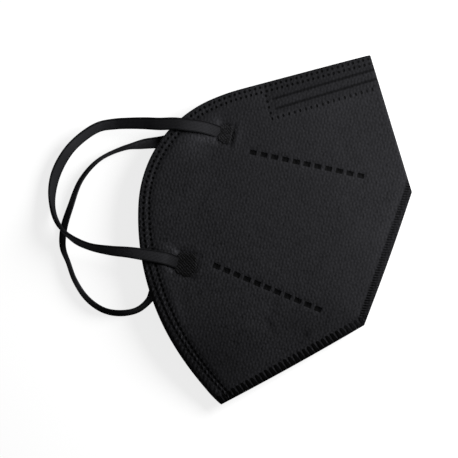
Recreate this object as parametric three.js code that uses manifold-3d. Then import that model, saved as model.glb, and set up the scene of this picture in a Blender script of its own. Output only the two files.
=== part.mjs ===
// A folding respirator mask with a vertical front seam, folded shut and lying on its left half.
//
// Millimetres, +Z up, +X to the wearer's front, +Y from the chin corner to the nose corner. The
// origin is under the middle of the folded mask, on the surface that it lies on.
//
// The folded outline has four corners. Going round with the cloth on the left:
//   chin corner  -> front low corner   chin weld, the two halves pressed into a ribbed flange
//   front low    -> nose tip           front weld, the same flange a little narrower
//   nose tip     -> nose corner        the nose fold, where the cloth turns round on itself
//   nose corner  -> chin corner        the face edge, the open mouth of the mask
// Each half is a height above or below the seam plane, worked out from the distances to these four.

import * as THREE from 'three';
import { mergeVertices } from 'three/addons/utils/BufferGeometryUtils.js';
import Module from 'manifold-3d';

const wasm = await Module();
wasm.setup();

// ---------------------------------------------------------------------------------------------
// Driving dimensions
// ---------------------------------------------------------------------------------------------

// Corners of the folded outline, from the chin corner.
const CHIN_CORNER = new THREE.Vector2(0, 0);
const FRONT_LOW = new THREE.Vector2(41.55, 53.48);
const NOSE_TIP = new THREE.Vector2(38.1, 111.71);
const NOSE_CORNER = new THREE.Vector2(0, 157);

// Face edge from the nose corner: a straight run, then arcs that bend towards the chin corner.
const FACE_HEADING = 218.1;
const FACE_STRAIGHT = 55.1;
const FACE_ARCS = [
  { radius: 87.2, turn: 9.0 },
  { radius: 49.6, turn: 63.1 },
  { radius: 102.3, turn: 36.8 },
  { radius: 146.1, turn: 10.4 },
];
const FACE_REACH = 66.7;        // how far the face edge stands behind the chin corner

// Thickness of the folded mask.
const SEAM_HEIGHT = 5.6;        // seam plane above the surface that the mask lies on
const WELD_HALF = 0.5;          // half of the pressed flange
const CHIN_WELD = 4.4;          // flange width along the chin
const FRONT_WELD = 3.5;         // flange width along the front
const FOLD_RADIUS = 2.2;        // outside radius of the nose fold
const FOLD_ARC = 73;            // part of a quarter turn that the fold keeps, in degrees
const UPPER_PUFF = 5.8;         // rise of the upper half over its edges
const LOWER_PUFF = 6.4;         // drop of the lower half, cut off where it meets the surface
const PUFF_REACH = 45;          // distance from a seam at which the puff is complete
const SEAM_POWER = 3;           // how sharply the nearest seam rules over the others
const RIM_DROOP = 0.2;          // share of the puff that the upper rim loses
const DROOP_REACH = 8;
const RIM_LIFT = 0.87;          // share of the puff that the lower rim loses
const LIFT_REACH = 40;
const LIFT_POWER = 1.25;
const WALL = 1.6;               // filter layers together
const RIM_WALL = 1.0;           // the same, pressed at the face edge
const RIM_WALL_REACH = 8;
const LEAST_HOLLOW = 0.1;       // height of the hollow next to its seams
const FOLD_TAKEOVER = 3.5;      // reach over which the fold takes over from the front weld

// Weld marks that hold the layers together: two rows across each half.
const MARK_ROWS = [
  { x: -28.63, y: 100.82, pitch: 4.53, angle: 11.0, length: 2.8, width: 1.9 },
  { x: -24.12, y: 51.89, pitch: 4.54, angle: 0.2, length: 2.9, width: 2.1 },
];
const MARKS_PER_ROW = 11;
const MARK_DEPTH = 0.45;
const CUTTER_HEIGHT = 4;

// Nose wire: a flat strip in a pocket inside the wall, bent round the nose fold.
const WIRE = { width: 4, thickness: 0.6, halfLength: 43, inset: 8.3, drift: 0.028, depth: 1.1 };
const POCKET_GAP = 0.3;
const POCKET_WALL = 0.7;        // how much thicker the wall is round the pocket
const POCKET_FADE = 5;
const POCKET_MOUTH = 3;         // length of the opening at each end of the pocket

// Ear loop band and the welds that hold its ends.
const BAND_WIDTH = 5.2;
const BAND_THICKNESS = 0.7;
const BAND_BEVEL = 0.25;
const BAND_STEPS = 40;
const GAP = 0.3;
const WELD_BELOW = 0.5;         // weld plate below the cloth's skin
const WELD_ABOVE = 0.5;
const WELD_CORNER = 1.2;
const RAMP_LENGTH = 4;          // pressed run of cloth under the end of a band
const LOOP_WELDS = {
  right_upper: { x: -41.8, y: 103.4, length: 6.4, width: 8.2, heading: 8, side: 1 },
  right_lower: { x: -35.8, y: 47.6, length: 9.0, width: 10.0, heading: 10, side: 1 },
  left_upper: { x: -41.8, y: 103.4, length: 6.4, width: 8.2, heading: 8, side: -1 },
  left_lower: { x: -35.8, y: 47.8, length: 8.4, width: 8.6, heading: 50, side: -1 },
};

// Routes of the bands from the upper weld round to the lower one. z is the height of the band's
// middle, tilt the turn of its width from level, outer edge upwards, in degrees.
const RIGHT_LOOP = [
  { x: -45.55, y: 102.9, z: 13.02, tilt: 1 },
  { x: -48.6, y: 102.7, z: 13.5, tilt: 2 },
  { x: -52.5, y: 102.1, z: 13.68, tilt: 3 },
  { x: -57.2, y: 100.8, z: 13.75, tilt: 6 },
  { x: -62.9, y: 99.1, z: 13.4, tilt: 8 },
  { x: -68.5, y: 96.6, z: 12.5, tilt: 12 },
  { x: -74.4, y: 94.4, z: 11.2, tilt: 22 },
  { x: -80.1, y: 92.0, z: 9.7, tilt: 30 },
  { x: -85.7, y: 89.3, z: 8.0, tilt: 34 },
  { x: -91.2, y: 85.7, z: 6.4, tilt: 41 },
  { x: -95.6, y: 79.7, z: 4.9, tilt: 42 },
  { x: -99.0, y: 71.7, z: 3.3, tilt: 42 },
  { x: -100.1, y: 62.0, z: 2.6, tilt: 42 },
  { x: -98.8, y: 54.2, z: 2.6, tilt: 54 },
  { x: -96.0, y: 47.9, z: 3.8, tilt: 71 },
  { x: -92.3, y: 43.4, z: 5.8, tilt: 81 },
  { x: -88.0, y: 40.6, z: 7.4, tilt: 94 },
  { x: -81.9, y: 38.9, z: 9.2, tilt: 117 },
  { x: -75.0, y: 38.9, z: 10.5, tilt: 123 },
  { x: -66.9, y: 40.7, z: 12.1, tilt: 137 },
  { x: -59.0, y: 43.2, z: 13.5, tilt: 149 },
  { x: -50.8, y: 45.3, z: 13.6, tilt: 165 },
  { x: -45.9, y: 46.4, z: 13.5, tilt: 174 },
  { x: -43.5, y: 46.8, z: 13.0, tilt: 178 },
  { x: -41.1, y: 46.9, z: 12.72, tilt: 180 },
];
const LEFT_LOOP = [
  { x: -45.5, y: 102.8, z: 2.2, tilt: 0 },
  { x: -49.6, y: 101.9, z: 1.8, tilt: 2 },
  { x: -54.4, y: 98.9, z: 1.4, tilt: 6 },
  { x: -59.4, y: 94.6, z: 1.3, tilt: 12 },
  { x: -64.5, y: 90.6, z: 1.6, tilt: 24 },
  { x: -71.9, y: 86.3, z: 2.2, tilt: 44 },
  { x: -79.0, y: 81.2, z: 2.7, tilt: 84 },
  { x: -86.0, y: 73.1, z: 2.7, tilt: 93 },
  { x: -89.5, y: 62.7, z: 2.7, tilt: 107 },
  { x: -89.2, y: 51.0, z: 2.6, tilt: 117 },
  { x: -88.1, y: 41.1, z: 2.5, tilt: 122 },
  { x: -85.5, y: 34.2, z: 2.6, tilt: 117 },
  { x: -80.9, y: 29.2, z: 2.7, tilt: 106 },
  { x: -75.6, y: 23.6, z: 2.7, tilt: 109 },
  { x: -67.9, y: 18.6, z: 2.7, tilt: 113 },
  { x: -59.8, y: 16.9, z: 2.7, tilt: 114 },
  { x: -52.9, y: 18.5, z: 2.6, tilt: 116 },
  { x: -47.0, y: 22.5, z: 2.7, tilt: 114 },
  { x: -44.2, y: 27.9, z: 2.6, tilt: 119 },
  { x: -43.7, y: 32.5, z: 2.1, tilt: 140 },
  { x: -42.2, y: 38.8, z: 1.8, tilt: 163 },
  { x: -38.9, y: 44.2, z: 2.4, tilt: 180 },
];

// Points along each edge of the outline, and the inset of each ring of the cloth from those edges.
const SAMPLES = { chin: 15, front: 12, fold: 14, face: 47 };
const SKIN_RINGS = [
  { chin: 0, front: 0, fold: 0, face: 0 },
  { chin: CHIN_WELD, front: FRONT_WELD, fold: 0.5, face: 1.5 },
  { chin: 6.0, front: 5.0, fold: 1.5, face: 4 },
  { chin: 9.5, front: 8.5, fold: 4.5, face: 8 },
  { chin: 14.5, front: 13.5, fold: 10, face: 14 },
];
const HOLLOW_RINGS = [
  { chin: 8.6, front: 7.7, fold: 2.4, face: -4 },
  { chin: 11.0, front: 10.0, fold: 4.6, face: 1 },
  { chin: 15.0, front: 14.0, fold: 9, face: 8 },
];
const PULLS = [0.25, 0.5, 0.75];
const MIDDLE = new THREE.Vector2(-13, 80);

const CENTRE = new THREE.Vector2((FRONT_LOW.x - FACE_REACH) / 2, NOSE_CORNER.y / 2);

// ---------------------------------------------------------------------------------------------
// Outline
// ---------------------------------------------------------------------------------------------

const degrees = THREE.MathUtils.degToRad;
const smooth = THREE.MathUtils.smoothstep;
const direction = (angle) => new THREE.Vector2(Math.cos(degrees(angle)), Math.sin(degrees(angle)));
const leftOf = (v) => new THREE.Vector2(-v.y, v.x);

// A straight stretch from a point in a direction.
function lineStretch(start, tangent, length) {
  const normal = leftOf(tangent);
  return {
    length,
    at: (s) => ({ point: start.clone().addScaledVector(tangent, s), tangent, normal }),
    reach: (p) => {
      const offset = p.clone().sub(start);
      return { along: offset.dot(tangent), inset: offset.dot(normal) };
    },
  };
}

// An arc that bends to the left from a point and heading.
function arcStretch(start, tangent, radius, turn) {
  const normal = leftOf(tangent);
  const centre = start.clone().addScaledVector(normal, radius);
  const first = Math.atan2(-normal.y, -normal.x);
  const at = (s) => {
    const angle = first + s / radius;
    const outward = new THREE.Vector2(Math.cos(angle), Math.sin(angle));
    const point = centre.clone().addScaledVector(outward, radius);
    return { point, tangent: leftOf(outward), normal: outward.clone().negate() };
  };
  const reach = (p) => {
    const offset = p.clone().sub(centre);
    const angle = Math.atan2(offset.y, offset.x) - first;
    const wrapped = angle - 2 * Math.PI * Math.round(angle / (2 * Math.PI));
    return { along: wrapped * radius, inset: radius - offset.length() };
  };
  return { length: degrees(turn) * radius, at, reach };
}

// An edge is a chain of stretches, each starting where the last one ends with the same heading.
function edgeFrom(stretches) {
  const length = stretches.reduce((sum, stretch) => sum + stretch.length, 0);
  const last = stretches.length - 1;
  const at = (s) => {
    let rest = s;
    let k = 0;
    while (k < last && rest > stretches[k].length) {
      rest -= stretches[k].length;
      k += 1;
    }
    return stretches[k].at(rest);
  };
  // Distance from the edge, positive on the cloth's side; the end stretches run on past the ends.
  const inset = (p) => {
    let best = Infinity;
    stretches.forEach((stretch, k) => {
      const { along, inset: depth } = stretch.reach(p);
      const begun = k === 0 || along >= 0;
      const ended = k !== last && along > stretch.length;
      if (begun && !ended) best = Math.min(best, depth);
    });
    return best;
  };
  return { length, at, inset };
}

function straightEdge(from, to) {
  const run = to.clone().sub(from);
  return edgeFrom([lineStretch(from, run.clone().normalize(), run.length())]);
}

function faceEdge() {
  const stretches = [lineStretch(NOSE_CORNER, direction(FACE_HEADING), FACE_STRAIGHT)];
  for (const arc of FACE_ARCS) {
    const before = stretches[stretches.length - 1];
    const { point, tangent } = before.at(before.length);
    stretches.push(arcStretch(point, tangent, arc.radius, arc.turn));
  }
  return edgeFrom(stretches);
}

const EDGES = {
  chin: straightEdge(CHIN_CORNER, FRONT_LOW),
  front: straightEdge(FRONT_LOW, NOSE_TIP),
  fold: straightEdge(NOSE_TIP, NOSE_CORNER),
  face: faceEdge(),
};
const EDGE_NAMES = ['chin', 'front', 'fold', 'face'];

// Step from a corner to the corner of the inset outline: a is the inset from the edge that ends
// there, b from the edge that starts there.
function cornerStep(ending, starting, a, b) {
  const n = ending.at(ending.length).normal;
  const m = starting.at(0).normal;
  const cross = n.x * m.y - n.y * m.x;
  return new THREE.Vector2((a * m.y - b * n.y) / cross, (b * n.x - a * m.x) / cross);
}

// One closed ring of points, inset from each edge by its own amount, corners mitred. Points near a
// corner slide along their edge, so that the rings stay matched point to point.
function insetRing(insets) {
  const ring = [];
  EDGE_NAMES.forEach((name, k) => {
    const edge = EDGES[name];
    const before = EDGE_NAMES[(k + 3) % 4];
    const after = EDGE_NAMES[(k + 1) % 4];
    const start = edge.at(0);
    const end = edge.at(edge.length);
    const stepIn = cornerStep(EDGES[before], edge, insets[before], insets[name]);
    const stepOut = cornerStep(edge, EDGES[after], insets[name], insets[after]);
    const slideIn = stepIn.dot(start.tangent);
    const slideOut = stepOut.dot(end.tangent);
    const half = edge.length / 2;
    const insetPoint = (s) => {
      const { point, normal } = edge.at(s);
      return point.clone().addScaledVector(normal, insets[name]);
    };
    const missIn = start.point.clone().add(stepIn).sub(insetPoint(slideIn));
    const missOut = end.point.clone().add(stepOut).sub(insetPoint(edge.length + slideOut));
    for (let i = 0; i < SAMPLES[name]; i += 1) {
      const s = (edge.length * i) / SAMPLES[name];
      const nearStart = Math.max(0, 1 - s / half);
      const nearEnd = Math.max(0, 1 - (edge.length - s) / half);
      const point = insetPoint(s + slideIn * nearStart + slideOut * nearEnd);
      point.addScaledVector(missIn, nearStart).addScaledVector(missOut, nearEnd);
      ring.push({ point, edge: name, corner: i === 0 });
    }
  });
  return ring;
}

// ---------------------------------------------------------------------------------------------
// Heights of the cloth
// ---------------------------------------------------------------------------------------------

const swell = (t) => 1 - (1 - THREE.MathUtils.clamp(t, 0, 1)) ** 2;
const FOLD_END = FOLD_RADIUS * (1 - Math.cos(degrees(FOLD_ARC)));
const FOLD_HALF = FOLD_RADIUS * Math.sin(degrees(FOLD_ARC));

// Half thickness of the nose fold: a round nose, then the height that the puff goes on from.
function foldHalf(distance) {
  if (distance >= FOLD_END) return FOLD_HALF;
  const back = FOLD_RADIUS - Math.max(distance, 0);
  return Math.sqrt(FOLD_RADIUS ** 2 - back ** 2);
}

// Heights of the outer skin over a point of the pattern.
function skin(p) {
  const chin = EDGES.chin.inset(p) - CHIN_WELD;
  const front = EDGES.front.inset(p);
  const fold = Math.max(EDGES.fold.inset(p), 0);
  const face = Math.max(EDGES.face.inset(p), 0);
  const tiny = 1e-3;
  const nearness = [chin, front - FRONT_WELD, fold - FOLD_END]
    .map((distance) => Math.max(distance, tiny) ** -SEAM_POWER);
  const seam = nearness.reduce((sum, near) => sum + near, 0) ** (-1 / SEAM_POWER);
  const weld = Math.max(Math.min(chin + CHIN_WELD, front), 0);
  const share = smooth(weld, FRONT_WELD, FRONT_WELD + FOLD_TAKEOVER) * (weld / (weld + fold + tiny));
  const edge = WELD_HALF + (foldHalf(fold) - WELD_HALF) * share;
  const puff = swell(seam / PUFF_REACH);
  const droop = RIM_DROOP * Math.max(0, 1 - face / DROOP_REACH) ** 2;
  const lift = RIM_LIFT * Math.max(0, 1 - face / LIFT_REACH) ** LIFT_POWER;
  const sag = Math.min(LOWER_PUFF * puff, SEAM_HEIGHT - edge);
  const under = WELD_HALF + (edge - WELD_HALF) * (1 - lift * smooth(fold, 0, PUFF_REACH));
  return {
    upper: SEAM_HEIGHT + edge + UPPER_PUFF * puff * (1 - droop),
    lower: SEAM_HEIGHT - under - sag * (1 - lift),
  };
}

// Wall thickness: thin at the rim, thicker round the nose wire's pocket.
function wall(p) {
  const face = EDGES.face.inset(p);
  const along = NOSE_CORNER.clone().sub(p).dot(direction(FACE_HEADING - 180));
  const across = Math.abs(face - WIRE.inset - WIRE.drift * along);
  const pocket = smooth(WIRE.width / 2 + POCKET_FADE - across, 0, POCKET_FADE - POCKET_GAP)
    * smooth(WIRE.halfLength + POCKET_FADE - along, 0, POCKET_FADE - POCKET_GAP);
  const rim = RIM_WALL + (WALL - RIM_WALL) * smooth(face, 0, RIM_WALL_REACH);
  return rim + POCKET_WALL * pocket;
}

// ---------------------------------------------------------------------------------------------
// Solids and meshes
// ---------------------------------------------------------------------------------------------

function toSolid(geometry) {
  const bare = geometry.clone();
  bare.deleteAttribute('normal');
  bare.deleteAttribute('uv');
  const merged = mergeVertices(bare, 1e-4);
  const index = merged.index.array;
  const triangles = [];
  for (let i = 0; i < index.length; i += 3) {
    const [a, b, c] = [index[i], index[i + 1], index[i + 2]];
    if (a !== b && b !== c && c !== a) triangles.push(a, b, c);
  }
  const mesh = new wasm.Mesh({
    numProp: 3,
    vertProperties: new Float32Array(merged.attributes.position.array),
    triVerts: new Uint32Array(triangles),
  });
  return new wasm.Manifold(mesh);
}

function toGeometry(solid) {
  const mesh = solid.getMesh();
  const geometry = new THREE.BufferGeometry();
  geometry.setAttribute('position', new THREE.BufferAttribute(mesh.vertProperties, 3));
  geometry.setIndex(new THREE.BufferAttribute(mesh.triVerts, 1));
  return geometry;
}

// A closed skin over a stack of matched rings, the first and last drawn together into a point.
function ringSkin(rings) {
  const count = Math.max(...rings.map((ring) => ring.length));
  const corner = (ring, i) => ring[i % ring.length];
  const positions = [];
  const triangle = (a, b, c) => positions.push(...a.toArray(), ...b.toArray(), ...c.toArray());
  for (let k = 0; k + 1 < rings.length; k += 1) {
    for (let i = 0; i < count; i += 1) {
      const [a, b] = [corner(rings[k], i), corner(rings[k + 1], i)];
      const [c, d] = [corner(rings[k + 1], i + 1), corner(rings[k], i + 1)];
      if (rings[k + 1].length > 1) triangle(a, b, c);
      if (rings[k].length > 1) triangle(a, c, d);
    }
  }
  const geometry = new THREE.BufferGeometry();
  geometry.setAttribute('position', new THREE.Float32BufferAttribute(positions, 3));
  return geometry;
}

const inFrame = (p, z) => new THREE.Vector3(p.x - CENTRE.x, p.y - CENTRE.y, z);

// The rings of one closed form from its middle out to its edge and back under to its middle.
function pillow(insetRows, heights) {
  const edgeRings = insetRows.map(insetRing);
  const innermost = edgeRings[edgeRings.length - 1];
  const pulled = PULLS.map((t) => innermost.map((node) => (
    { ...node, corner: false, edge: 'none', point: node.point.clone().lerp(MIDDLE, t) })));
  const plan = [...edgeRings, ...pulled, [{ point: MIDDLE, edge: 'none', corner: false }]];
  const side = (name) => plan.map((ring, k) => (
    ring.map((node) => inFrame(node.point, heights(node, k === 0)[name]))));
  return ringSkin([...side('upper').reverse(), ...side('lower')]);
}

// ---------------------------------------------------------------------------------------------
// Mask body
// ---------------------------------------------------------------------------------------------

function outerForm() {
  return toSolid(pillow(SKIN_RINGS, (node) => skin(node.point)));
}

// The hollow closes to a line along its seams and runs out past the face edge.
function hollow() {
  return toSolid(pillow(HOLLOW_RINGS, (node, outermost) => {
    const { upper, lower } = skin(node.point);
    const middle = (upper + lower) / 2;
    const shut = outermost && (node.edge !== 'face' || node.corner);
    const open = Math.max(upper - lower - 2 * wall(node.point), LEAST_HOLLOW);
    const half = shut ? 0 : open / 2;
    return { upper: middle + half, lower: middle - half };
  }));
}

// Both halves carry the same marks, so each cutter has a mate below.
function weldMarks() {
  const cutters = [];
  for (const row of MARK_ROWS) {
    const along = direction(row.angle);
    for (let i = 0; i < MARKS_PER_ROW; i += 1) {
      const p = new THREE.Vector2(row.x, row.y).addScaledVector(along, i * row.pitch);
      const { upper, lower } = skin(p);
      const reach = CUTTER_HEIGHT / 2 - MARK_DEPTH;
      for (const z of [upper + reach, lower - reach]) {
        const box = new THREE.BoxGeometry(row.length, row.width, CUTTER_HEIGHT);
        box.rotateZ(degrees(row.angle));
        box.translate(...inFrame(p, z).toArray());
        cutters.push(toSolid(box));
      }
    }
  }
  return cutters;
}

// ---------------------------------------------------------------------------------------------
// Nose wire and its pocket
// ---------------------------------------------------------------------------------------------

// A point under the skin on the strip's route. across is the offset from the strip's middle, run
// the length from the fold, positive on the upper half, and depth is measured from the skin.
function underSkin(run, across, depth) {
  const along = direction(FACE_HEADING);
  const inward = leftOf(along);
  const side = Math.sign(run) || 1;
  const arc = degrees(FOLD_ARC) * FOLD_RADIUS;
  const distance = Math.abs(run);
  const place = (q) => {
    const inset = WIRE.inset + WIRE.drift * q + across;
    return NOSE_CORNER.clone().addScaledVector(along, q).addScaledVector(inward, inset);
  };
  // The fold isn't quite square to the strip, so each line across starts at its own fold point.
  const past = EDGES.fold.inset(place(0));
  const foldStart = -past / (EDGES.fold.inset(place(1)) - past);
  if (distance < arc) {
    const angle = distance / FOLD_RADIUS;
    const radius = FOLD_RADIUS - depth;
    const q = foldStart + FOLD_RADIUS - radius * Math.cos(angle);
    return inFrame(place(q), SEAM_HEIGHT + side * radius * Math.sin(angle));
  }
  const q = foldStart + FOLD_END + distance - arc;
  const height = (t) => skin(place(t))[side > 0 ? 'upper' : 'lower'];
  const step = 0.5;
  const slope = (height(q + step) - height(q)) / step;
  const down = depth / Math.hypot(1, slope);
  return inFrame(place(q + side * slope * down), height(q) - side * down);
}

// A flat strip that follows the skin at a depth, from one half round the fold to the other.
function stripForm(width, thickness, halfLength) {
  const bend = [0, 0.2, 0.4, 0.6, 0.8, 1].map((t) => t * degrees(FOLD_ARC) * FOLD_RADIUS);
  const straight = [0.08, 0.2, 0.4, 0.6, 0.8];
  const arc = bend[bend.length - 1];
  const half = [...bend, ...straight.map((t) => arc + t * (WIRE.halfLength - arc)), halfLength];
  const runs = [...half.slice(1).reverse().map((run) => -run), ...half];
  const sections = runs.map((run) => [
    underSkin(run, -width / 2, WIRE.depth - thickness / 2),
    underSkin(run, width / 2, WIRE.depth - thickness / 2),
    underSkin(run, width / 2, WIRE.depth + thickness / 2),
    underSkin(run, -width / 2, WIRE.depth + thickness / 2),
  ]);
  const middle = (section) => [section[0].clone().add(section[2]).multiplyScalar(0.5)];
  return ringSkin([middle(sections[0]), ...sections, middle(sections[sections.length - 1])]);
}

function wirePocket() {
  const grow = 2 * POCKET_GAP;
  const channel = stripForm(WIRE.width + grow, WIRE.thickness + grow, WIRE.halfLength + POCKET_GAP);
  const mouths = [1, -1].map((side) => {
    const run = side * (WIRE.halfLength + POCKET_GAP - POCKET_MOUTH / 2);
    const box = new THREE.BoxGeometry(POCKET_MOUTH, WIRE.width, WALL * 2);
    box.rotateZ(degrees(FACE_HEADING));
    box.translate(...underSkin(run, 0, WIRE.depth + WALL).toArray());
    return toSolid(box);
  });
  return mouths.reduce((all, mouth) => all.add(mouth), toSolid(channel));
}

// ---------------------------------------------------------------------------------------------
// Ear loops and their welds
// ---------------------------------------------------------------------------------------------

// A frame on the skin at a weld: X along the band, Z out of the cloth.
function weldFrame(weld) {
  const p = new THREE.Vector2(weld.x, weld.y);
  const name = weld.side > 0 ? 'upper' : 'lower';
  const step = 1;
  const slope = (dx, dy) => {
    const ahead = skin(p.clone().add(new THREE.Vector2(dx, dy)))[name];
    const behind = skin(p.clone().sub(new THREE.Vector2(dx, dy)))[name];
    return (ahead - behind) / (2 * step);
  };
  const out = new THREE.Vector3(-slope(step, 0), -slope(0, step), 1).normalize();
  out.multiplyScalar(weld.side);
  const heading = direction(weld.heading);
  const along = new THREE.Vector3(heading.x, heading.y, 0);
  along.addScaledVector(out, -along.dot(out)).normalize();
  const across = new THREE.Vector3().crossVectors(out, along);
  return new THREE.Matrix4().makeBasis(along, across, out).setPosition(inFrame(p, skin(p)[name]));
}

function plate(length, width, corner, from, to) {
  const [x, y] = [length / 2, width / 2];
  const shape = new THREE.Shape();
  shape.moveTo(-x + corner, -y);
  shape.lineTo(x - corner, -y);
  shape.absarc(x - corner, -y + corner, corner, -Math.PI / 2, 0);
  shape.lineTo(x, y - corner);
  shape.absarc(x - corner, y - corner, corner, 0, Math.PI / 2);
  shape.lineTo(-x + corner, y);
  shape.absarc(-x + corner, y - corner, corner, Math.PI / 2, Math.PI);
  shape.lineTo(-x, -y + corner);
  shape.absarc(-x + corner, -y + corner, corner, Math.PI, Math.PI * 1.5);
  const geometry = new THREE.ExtrudeGeometry(shape, {
    depth: to - from,
    bevelEnabled: false,
    curveSegments: 3,
  });
  return geometry.translate(0, 0, from);
}

function loopWeld(weld) {
  return plate(weld.length, weld.width, WELD_CORNER, -WELD_BELOW, WELD_ABOVE)
    .applyMatrix4(weldFrame(weld));
}

// The weld lies in a pressed seat that runs out under the band's end.
function weldSeat(weld) {
  const low = -WELD_BELOW - GAP;
  const high = low + CUTTER_HEIGHT;
  const seat = plate(weld.length + 2 * GAP, weld.width + 2 * GAP, WELD_CORNER + GAP, low, high);
  const ramp = new THREE.BoxGeometry(2 * RAMP_LENGTH, BAND_WIDTH + 2 * GAP, CUTTER_HEIGHT);
  ramp.translate(-weld.length / 2, 0, (low + high) / 2);
  const frame = weldFrame(weld);
  return toSolid(seat.applyMatrix4(frame)).add(toSolid(ramp.applyMatrix4(frame)));
}

// A band's route carries its own twist, so the section is turned by the route's tilt at each step.
class BandRoute extends THREE.CatmullRomCurve3 {
  constructor(rows) {
    super(rows.map((row) => inFrame(row, row.z)), false, 'centripetal');
    this.tilts = rows.map((row) => row.tilt);
  }

  tiltAt(u) {
    const place = this.getUtoTmapping(u) * (this.tilts.length - 1);
    const k = Math.min(Math.floor(place), this.tilts.length - 2);
    return THREE.MathUtils.lerp(this.tilts[k], this.tilts[k + 1], place - k);
  }

  computeFrenetFrames(segments) {
    const up = new THREE.Vector3(0, 0, 1);
    const frames = { tangents: [], normals: [], binormals: [] };
    for (let i = 0; i <= segments; i += 1) {
      const tangent = this.getTangentAt(i / segments);
      const outer = new THREE.Vector3().crossVectors(tangent, up).normalize();
      const over = new THREE.Vector3().crossVectors(outer, tangent);
      const tilt = degrees(this.tiltAt(i / segments));
      const across = outer.multiplyScalar(Math.cos(tilt)).addScaledVector(over, Math.sin(tilt));
      frames.tangents.push(tangent);
      frames.normals.push(across);
      frames.binormals.push(new THREE.Vector3().crossVectors(tangent, across));
    }
    return frames;
  }
}

function earLoop(rows) {
  const [x, y] = [BAND_WIDTH / 2, BAND_THICKNESS / 2];
  const [inX, inY] = [x - BAND_BEVEL, y - BAND_BEVEL];
  const section = new THREE.Shape([
    new THREE.Vector2(-inX, -y),
    new THREE.Vector2(inX, -y),
    new THREE.Vector2(x, -inY),
    new THREE.Vector2(x, inY),
    new THREE.Vector2(inX, y),
    new THREE.Vector2(-inX, y),
    new THREE.Vector2(-x, inY),
    new THREE.Vector2(-x, -inY),
  ]);
  return new THREE.ExtrudeGeometry(section, {
    steps: BAND_STEPS,
    bevelEnabled: false,
    extrudePath: new BandRoute(rows),
  });
}

// ---------------------------------------------------------------------------------------------
// Assembly
// ---------------------------------------------------------------------------------------------

const filterCloth = { color: 0x262628, roughness: 0.95, metalness: 0 };
const knitBand = { color: 0x232325, roughness: 0.7, metalness: 0 };
const fusedCloth = { color: 0x131314, roughness: 0.6, metalness: 0 };
const aluminium = { color: 0xb9bbbe, roughness: 0.4, metalness: 1 };

const mask = new THREE.Group();

function addPiece(name, geometry, finish) {
  const mesh = new THREE.Mesh(geometry, new THREE.MeshStandardMaterial(finish));
  mesh.name = name;
  mask.add(mesh);
}

function maskBody() {
  const seats = Object.values(LOOP_WELDS).map(weldSeat);
  const cuts = [hollow(), wirePocket(), ...weldMarks(), ...seats];
  return toGeometry(cuts.reduce((body, cut) => body.subtract(cut), outerForm()));
}

addPiece('mask_body', maskBody(), filterCloth);
addPiece('nose_wire', stripForm(WIRE.width, WIRE.thickness, WIRE.halfLength), aluminium);
for (const [place, weld] of Object.entries(LOOP_WELDS)) {
  addPiece(`loop_weld_${place}`, loopWeld(weld), fusedCloth);
}
addPiece('ear_loop_right', earLoop(RIGHT_LOOP), knitBand);
addPiece('ear_loop_left', earLoop(LEFT_LOOP), knitBand);

export default mask;
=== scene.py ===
import math

import bpy
import numpy as np
from bpy.props import FloatProperty, FloatVectorProperty, IntProperty, PointerProperty
from mathutils import Matrix, Vector


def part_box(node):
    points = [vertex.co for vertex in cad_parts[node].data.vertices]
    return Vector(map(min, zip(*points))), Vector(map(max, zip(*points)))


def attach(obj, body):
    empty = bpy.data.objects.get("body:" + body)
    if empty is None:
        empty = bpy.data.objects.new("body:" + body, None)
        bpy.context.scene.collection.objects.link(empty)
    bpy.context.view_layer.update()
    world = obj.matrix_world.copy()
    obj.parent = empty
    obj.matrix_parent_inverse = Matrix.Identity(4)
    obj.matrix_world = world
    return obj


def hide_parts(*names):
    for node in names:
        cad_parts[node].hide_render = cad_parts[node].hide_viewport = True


# A folding respirator mask, folded shut and lying on its left half, with an ear loop on each side.
#
# Shapes are worked out on the mask's flat pattern, in metres. The pattern's origin is the chin
# corner, +X is the wearer's front and +Y runs up to the nose corner. The folded outline has four
# edges, named in this order with the cloth on the left: chin weld, front weld, nose fold, face edge.

bl_info = {
    "name": "Folding respirator mask",
    "version": (1, 0, 0),
    "blender": (4, 5, 0),
    "location": "3D View > Sidebar > Mask",
    "description": "Builds a folded cloth respirator mask with its ear loops on a studio floor",
    "category": "Add Mesh",
}

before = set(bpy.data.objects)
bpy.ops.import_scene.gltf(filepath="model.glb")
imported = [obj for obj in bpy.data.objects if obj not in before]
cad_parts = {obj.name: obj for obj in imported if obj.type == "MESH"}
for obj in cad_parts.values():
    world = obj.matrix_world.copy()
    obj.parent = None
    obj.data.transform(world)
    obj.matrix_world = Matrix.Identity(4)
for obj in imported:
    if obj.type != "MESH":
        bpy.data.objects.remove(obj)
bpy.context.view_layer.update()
BODY_LOW, BODY_HIGH = (np.array(corner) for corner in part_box("mask_body"))
BODY = "root"
MM = 1000.0                    # millimetres in a metre

# Pattern.

CHIN_CORNER = np.array([0.0, 0.0])
FRONT_LOW = np.array([0.04155, 0.05348])
NOSE_TIP = np.array([0.0381, 0.11171])
NOSE_CORNER = np.array([0.0, 0.157])
FACE_HEADING = 218.1
FACE_STRAIGHT = 0.0551
FACE_ARCS = [(0.0872, 9.0), (0.0496, 63.1), (0.1023, 36.8), (0.1461, 10.4)]
ORIGIN = np.array([BODY_HIGH[0] - FRONT_LOW[0], BODY_LOW[1]])
MIDDLE = np.array([-0.013, 0.080])

# Rows of weld marks that hold the layers together, from each row's first mark.
MARK_ROWS = [
    {"x": -0.02863, "y": 0.10082, "pitch": 0.00453, "angle": 11.0, "length": 0.0028, "width": 0.0019},
    {"x": -0.02412, "y": 0.05189, "pitch": 0.00454, "angle": 0.2, "length": 0.0029, "width": 0.0021},
]
MARKS_PER_ROW = 11

# The welding horn's knurl: heading, spacing and share of each set of lines.
HATCH = [(66, 0.00096, 0.66), (-26, 0.00090, 0.34)]

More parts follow.
